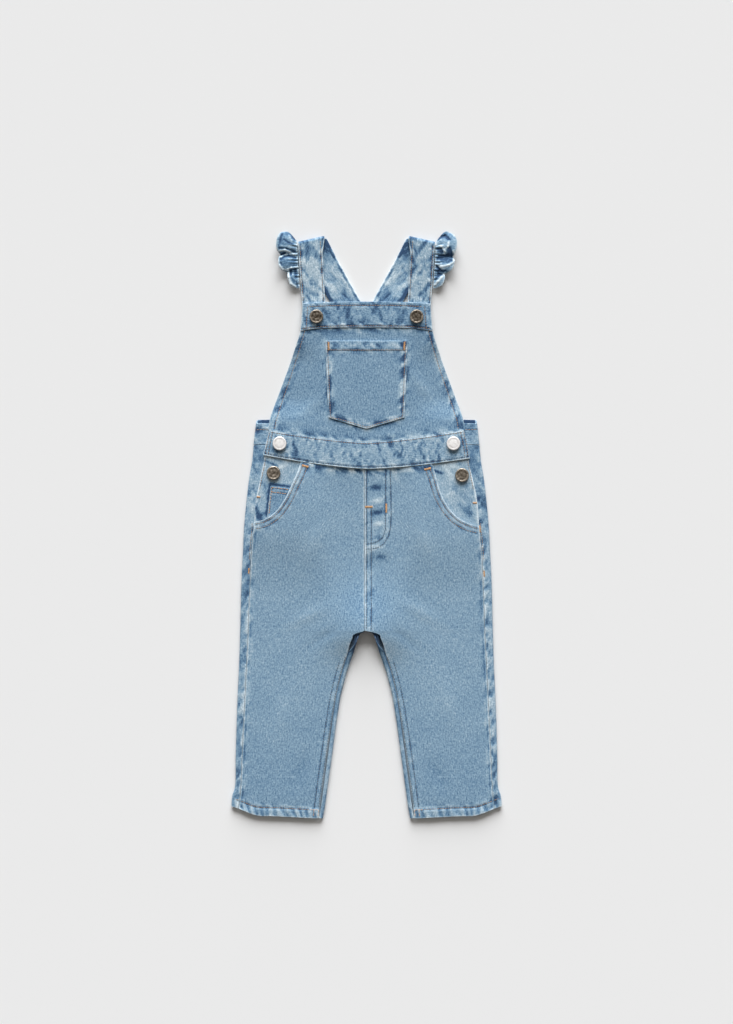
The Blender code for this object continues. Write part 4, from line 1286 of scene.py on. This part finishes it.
stitches = {"pitch": 2.7, "gap": 0.5, "width": 0.82, "flatness": 0.42, "jog": 0.1}
stitchSets = {name: bmesh.new() for name in threads}
stitchRandom = np.random.default_rng(12)
grainShape = bmesh.new()
bmesh.ops.create_uvsphere(grainShape, u_segments=6, v_segments=4, radius=0.5)
grain = bpy.data.meshes.new("grain")
grainShape.to_mesh(grain)
grainShape.free()
grain.shade_smooth()
grainPlaces = np.empty(len(grain.vertices) * 3, np.float32)
grain.vertices.foreach_get("co", grainPlaces)
grainPlaces = grainPlaces.reshape(-1, 3)


# One stitch between two places on the cloth
def addStitch(thread, start, end, normal, width, rise):
    way = end - start
    size = way.length
    if size < 0.2:
        return
    way.normalize()
    acrossWay = normal.cross(way).normalized()
    up = way.cross(acrossWay).normalized()
    axes = np.array((acrossWay * width, up * width * stitches["flatness"] * 2, way * size))
    spots = np.array((start + end) / 2 + up * rise) + grainPlaces @ axes
    grain.vertices.foreach_set("co", (spots * mm).astype(np.float32).reshape(-1))
    stitchSets[thread].from_mesh(grain)


def stitchRow(piece, line, thread, width=stitches["width"], gap=stitches["gap"]):
    line = np.asarray(line, float)
    run = np.concatenate([[0], np.cumsum(np.hypot(*np.diff(line, axis=0).T))])
    count = max(1, int(run[-1] / stitches["pitch"]))
    spacing = run[-1] / count
    for k in range(count):
        a, b = k * spacing + gap / 2, (k + 1) * spacing - gap / 2
        jog = stitchRandom.normal(0, stitches["jog"], 4)
        ends = []
        for at, dx, dy in ((a, jog[0], jog[1]), (b, jog[2], jog[3])):
            x, y = (np.interp(at, run, line[:, k]) for k in (0, 1))
            spot, normal = surfaceAt(piece, x + dx, y + dy)
            if spot is None:
                break
            ends.append((spot, normal))
        if len(ends) == 2:
            addStitch(thread, ends[0][0], ends[1][0], ends[0][1], width, 0.12)


# Close stitches across a short line
def barTack(piece, start, end, width=2.2, thread="orange"):
    start, end = np.array(start, float), np.array(end, float)
    way = (end - start) / np.hypot(*(end - start))
    across = np.array((-way[1], way[0])) * width / 2
    count = max(6, int(np.hypot(*(end - start)) / 0.62))
    for k in range(count + 1):
        at = start + (end - start) * k / count
        jog = stitchRandom.normal(0, 0.08, 2)
        a, b = surfaceAt(piece, *(at - across + jog)), surfaceAt(piece, *(at + across + jog))
        if a[0] is not None and b[0] is not None:
            addStitch(thread, a[0], b[0], a[1], 0.75, 0.24)


sewnPieces = ("front_leg", "back_leg", "hip_facing", "strap")
strapLines = [
    ((68.2, 243), (70.2, 272), (71.9, 303)),
    ((46.6, 243), (48.2, 277), (49.8, 308)),
    ((44.6, 306.5), (8.4, 243)),
]
for side in (left, right):
    panel, back, hip, strapName = (f"{name}_{letters[side]}" for name in sewnPieces)
    rows = frontRows[side]
    for name in ("inseamOuter", "inseamInner"):
        stitchRow(panel, rows[name], "grey", width=1.0, gap=1.15)
    for name in ("hemOuter", "hemInner", "hemEnd"):
        stitchRow(panel, rows[name], "orange", width=0.7)
    for name in ("hem", "pocketNear", "pocketFar"):
        stitchRow(panel, rows[name], "brown")
    stitchRow(back, sided(side, seamLine("seam", -36, 4, 2.0, 12)), "brown")
    stitchRow(back, [(side * x, hemAt(x) + 9.4) for x in np.linspace(137.5, 145.0, 8)], "brown")
    stitchRow(hip, sided(side, seamLine("seam", 40, 73, -1.9, 12)), "brown")
    for line in strapLines:
        stitchRow(strapName, sided(side, line), "brown")
    # The tacks on the two sides are not level, so each has a height that is lower on the right
    barTack(panel, (side * 69.3, 64.4 - side * 1.5), (side * 62.6, 62.8 - side * 1.4), 2.6)
    barTack(hip, (side * 118.6, 28.8 - side * 3.2), (side * 114.9, 28.6 - side * 3.2), 2.0)
    barTack(back, (side * 126.8, -46.5 - side * 1.5), (side * 127.1, -52.0 - side * 1.5), 1.8)
for name in ("edge", "second", "outerCurve", "innerCurve"):
    stitchRow("front_leg_r", flyRows[name], "grey")
barTack("back_leg_r", (122.0, 1.0), (122.6, -6.0), 1.6)
barTack("front_leg_r", (-1.2, 21.2), (6.4, 21.2), 2.6)
barTack("front_leg_r", (21.4, 24.4), (21.4, 15.4), 2.2)
for name in waistRows:
    stitchRow("waistband_front", waistRows[name], "grey" if name == "low" else "brown", gap=0.8)
for name in bandRows:
    stitchRow("bib_band", bandRows[name], "brown")
for name in ("top", "second", "side"):
    stitchRow("coin_pocket", coinRows[name], "orange")
for side in (left, right):
    stitchRow("bib", bibSide(side, 6.0), "brown")
    barTack("bib_pocket", (side * 40.8, 198.6), (side * 40.6, 190.2), 1.9)
stitchRow("bib_pocket", pocketEdge(2.0), "brown")
stitchRow("bib_pocket", [(-42.0, 190.4), (0, 190.2), (42.0, 190.4)], "brown")
for side in (left, right):
    stitchRow("back_band", [(side * v, 104.5) for v in np.linspace(119, 106, 8)], "brown")

for name, bm in stitchSets.items():
    mesh = bpy.data.meshes.new(f"stitches_{name}")
    bm.to_mesh(mesh)
    bm.free()
    mesh.materials.append(threads[name])
    new = bpy.data.objects.new(f"stitches_{name}", mesh)
    bpy.context.scene.collection.objects.link(new)
    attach(new, "root")
    print("stitches", name, len(mesh.polygons), "faces")


# Buttons: a turned body with a raised rim, two rings and a dimple
buttons = {
    "places": {"bib": (54.0, 226.2, 7.45), "waist": (93.6, 89.5, 8.1), "hip": (101.6, 56.5, 5.9)},
    "segments": 56,
    "body": [(0.0, 0.0), (2.9, 0.0), (3.0, 0.7), (6.3, 0.85), (7.1, 1.15), (7.45, 1.6), (7.5, 1.95),
             (7.3, 2.4)],
    "uneven": {"bib": 0.19, "hip": 0.19, "waist": 0.04},
    "hipShift": (1.4, -1.2),
    "ringed": [(6.9, 2.64), (6.4, 2.7), (5.9, 2.54), (5.3, 2.34), (4.6, 2.28), (3.9, 2.34), (3.2, 2.42),
               (2.5, 2.44), (1.8, 2.36), (1.2, 2.3), (0.6, 2.28), (0.0, 2.28)],
    "plain": [(6.9, 2.6), (6.4, 2.68), (5.9, 2.66), (5.5, 2.56), (5.1, 2.54), (4.4, 2.6), (3.6, 2.66),
              (2.8, 2.7), (2.0, 2.72), (1.2, 2.72), (0.6, 2.7), (0.0, 2.7)],
}


def makeButton(kind, side):
    letter = letters[side]
    x, y, z = buttons["places"][kind]
    if kind == "hip":
        x, y = x + side * buttons["hipShift"][0], y + side * buttons["hipShift"][1]
    bm = bmesh.new()
    profile = buttons["body"] + buttons["plain" if kind == "waist" else "ringed"]
    verts = [bm.verts.new((radius, 0.0, height)) for radius, height in profile]
    edges = [bm.edges.new(pair) for pair in zip(verts, verts[1:])]
    bmesh.ops.spin(bm, geom=verts + edges, cent=(0, 0, 0), axis=(0, 0, 1), angle=math.tau,
                   steps=buttons["segments"], use_merge=True)
    bmesh.ops.remove_doubles(bm, verts=bm.verts, dist=0.004)
    bmesh.ops.recalc_face_normals(bm, faces=bm.faces)
    mesh = bpy.data.meshes.new(f"metal_button_{kind}_{letter}")
    worn = []
    for vert in bm.verts:
        radius, turn = math.hypot(vert.co.x, vert.co.y), math.atan2(vert.co.y, vert.co.x)
        if 4.8 < radius < 5.6 and vert.co.z > 2.0 and kind != "waist":
            vert.co.z += 0.14 * max(0.0, math.sin(14 * turn + 1))
        if vert.co.z > 2.0:
            uneven = float(rough(vert.co.x + 20 * side, vert.co.y + 9 * len(kind), 1.5, 5))
            vert.co.z += uneven * buttons["uneven"][kind]
        worn.append(min(1.0, max(0.0, (vert.co.z - 2.2) * 2.0 + (0.3 if kind == "hip" else 0.0))))
        vert.co = Vector((side * x + vert.co.x, y + vert.co.y, z + garment["gap"] + vert.co.z)) * mm
    bm.to_mesh(mesh)
    bm.free()
    mesh.shade_smooth()
    mesh.attributes.new("worn", "FLOAT", "POINT").data.foreach_set("value", np.array(worn, np.float32))
    mesh.materials.append(brightMetal if kind == "waist" else agedMetal)
    new = bpy.data.objects.new(f"metal_button_{kind}_{letter}", mesh)
    bpy.context.scene.collection.objects.link(new)
    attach(new, "root")
    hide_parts(f"button_{kind}_{letter}")


for side in (left, right):
    for kind in buttons["places"]:
        makeButton(kind, side)
print("buttons made")

# The pale surface, the light from the top of the picture, and the camera straight above
studio = {
    "floorColour": (0.79, 0.79, 0.79),
    "floorSize": 6.0,
    "sunTilt": 67.0,
    "sunSpread": 48.0,
    "sunPower": 6.5,
    "skyColour": (1.0, 0.955, 0.89),
    "skyLow": 0.0,
    "skyHigh": 0.38,
    "skyLean": 0.4,
    "cameraHeight": 2.613,
    "cameraAlong": 0.01566,
    "lens": 85.0,
}
bm = bmesh.new()
bmesh.ops.create_grid(bm, x_segments=4, y_segments=4, size=studio["floorSize"] / 2)
bmesh.ops.translate(bm, verts=bm.verts, vec=(0, 0, -0.0002))
mesh = bpy.data.meshes.new("surface")
bm.to_mesh(mesh)
bm.free()
surface = bpy.data.objects.new("surface", mesh)
bpy.context.scene.collection.objects.link(surface)
paper = Finish("pale surface", roughness=0.95)
paperPlace = paper.node("ShaderNodeTexCoord", out=3)
shade = paper.noise(paperPlace, 3.0, 1.0)
paler = tuple(c * 1.004 for c in studio["floorColour"])
paper.set("Base Color", paper.blend(shade, studio["floorColour"], paler))
mesh.materials.append(paper.material)

world = bpy.data.worlds.new("studio")
world.use_nodes = True
sky = world.node_tree.nodes["Background"]
sky.inputs["Color"].default_value = (*studio["skyColour"], 1.0)
skyPlace = world.node_tree.nodes.new("ShaderNodeTexCoord")
skyParts = world.node_tree.nodes.new("ShaderNodeVectorMath")
skyParts.operation = "DOT_PRODUCT"
skyParts.inputs[1].default_value = (0.0, studio["skyLean"], 1.0)
skyHeight = world.node_tree.nodes.new("ShaderNodeMapRange")
skyHeight.inputs["To Min"].default_value = studio["skyLow"]
skyHeight.inputs["To Max"].default_value = studio["skyHigh"]
world.node_tree.links.new(skyPlace.outputs["Generated"], skyParts.inputs[0])
world.node_tree.links.new(skyParts.outputs["Value"], skyHeight.inputs["Value"])
world.node_tree.links.new(skyHeight.outputs["Result"], sky.inputs["Strength"])
bpy.context.scene.world = world

sun = bpy.data.lights.new("window", "SUN")
sun.energy = studio["sunPower"]
sun.angle = math.radians(studio["sunSpread"])
sun.color = (0.965, 0.98, 1.0)
sunObject = bpy.data.objects.new("window", sun)
sunObject.rotation_euler = (math.radians(-studio["sunTilt"]), 0, 0)
bpy.context.scene.collection.objects.link(sunObject)

camera = bpy.data.cameras.new("above")
camera.lens = studio["lens"]
camera.sensor_width = 36.0
cameraObject = bpy.data.objects.new("above", camera)
cameraObject.location = (0.0, studio["cameraAlong"], studio["cameraHeight"])
bpy.context.scene.collection.objects.link(cameraObject)
bpy.context.scene.camera = cameraObject
bpy.context.scene.view_settings.view_transform = "Standard"

print("scene ready")
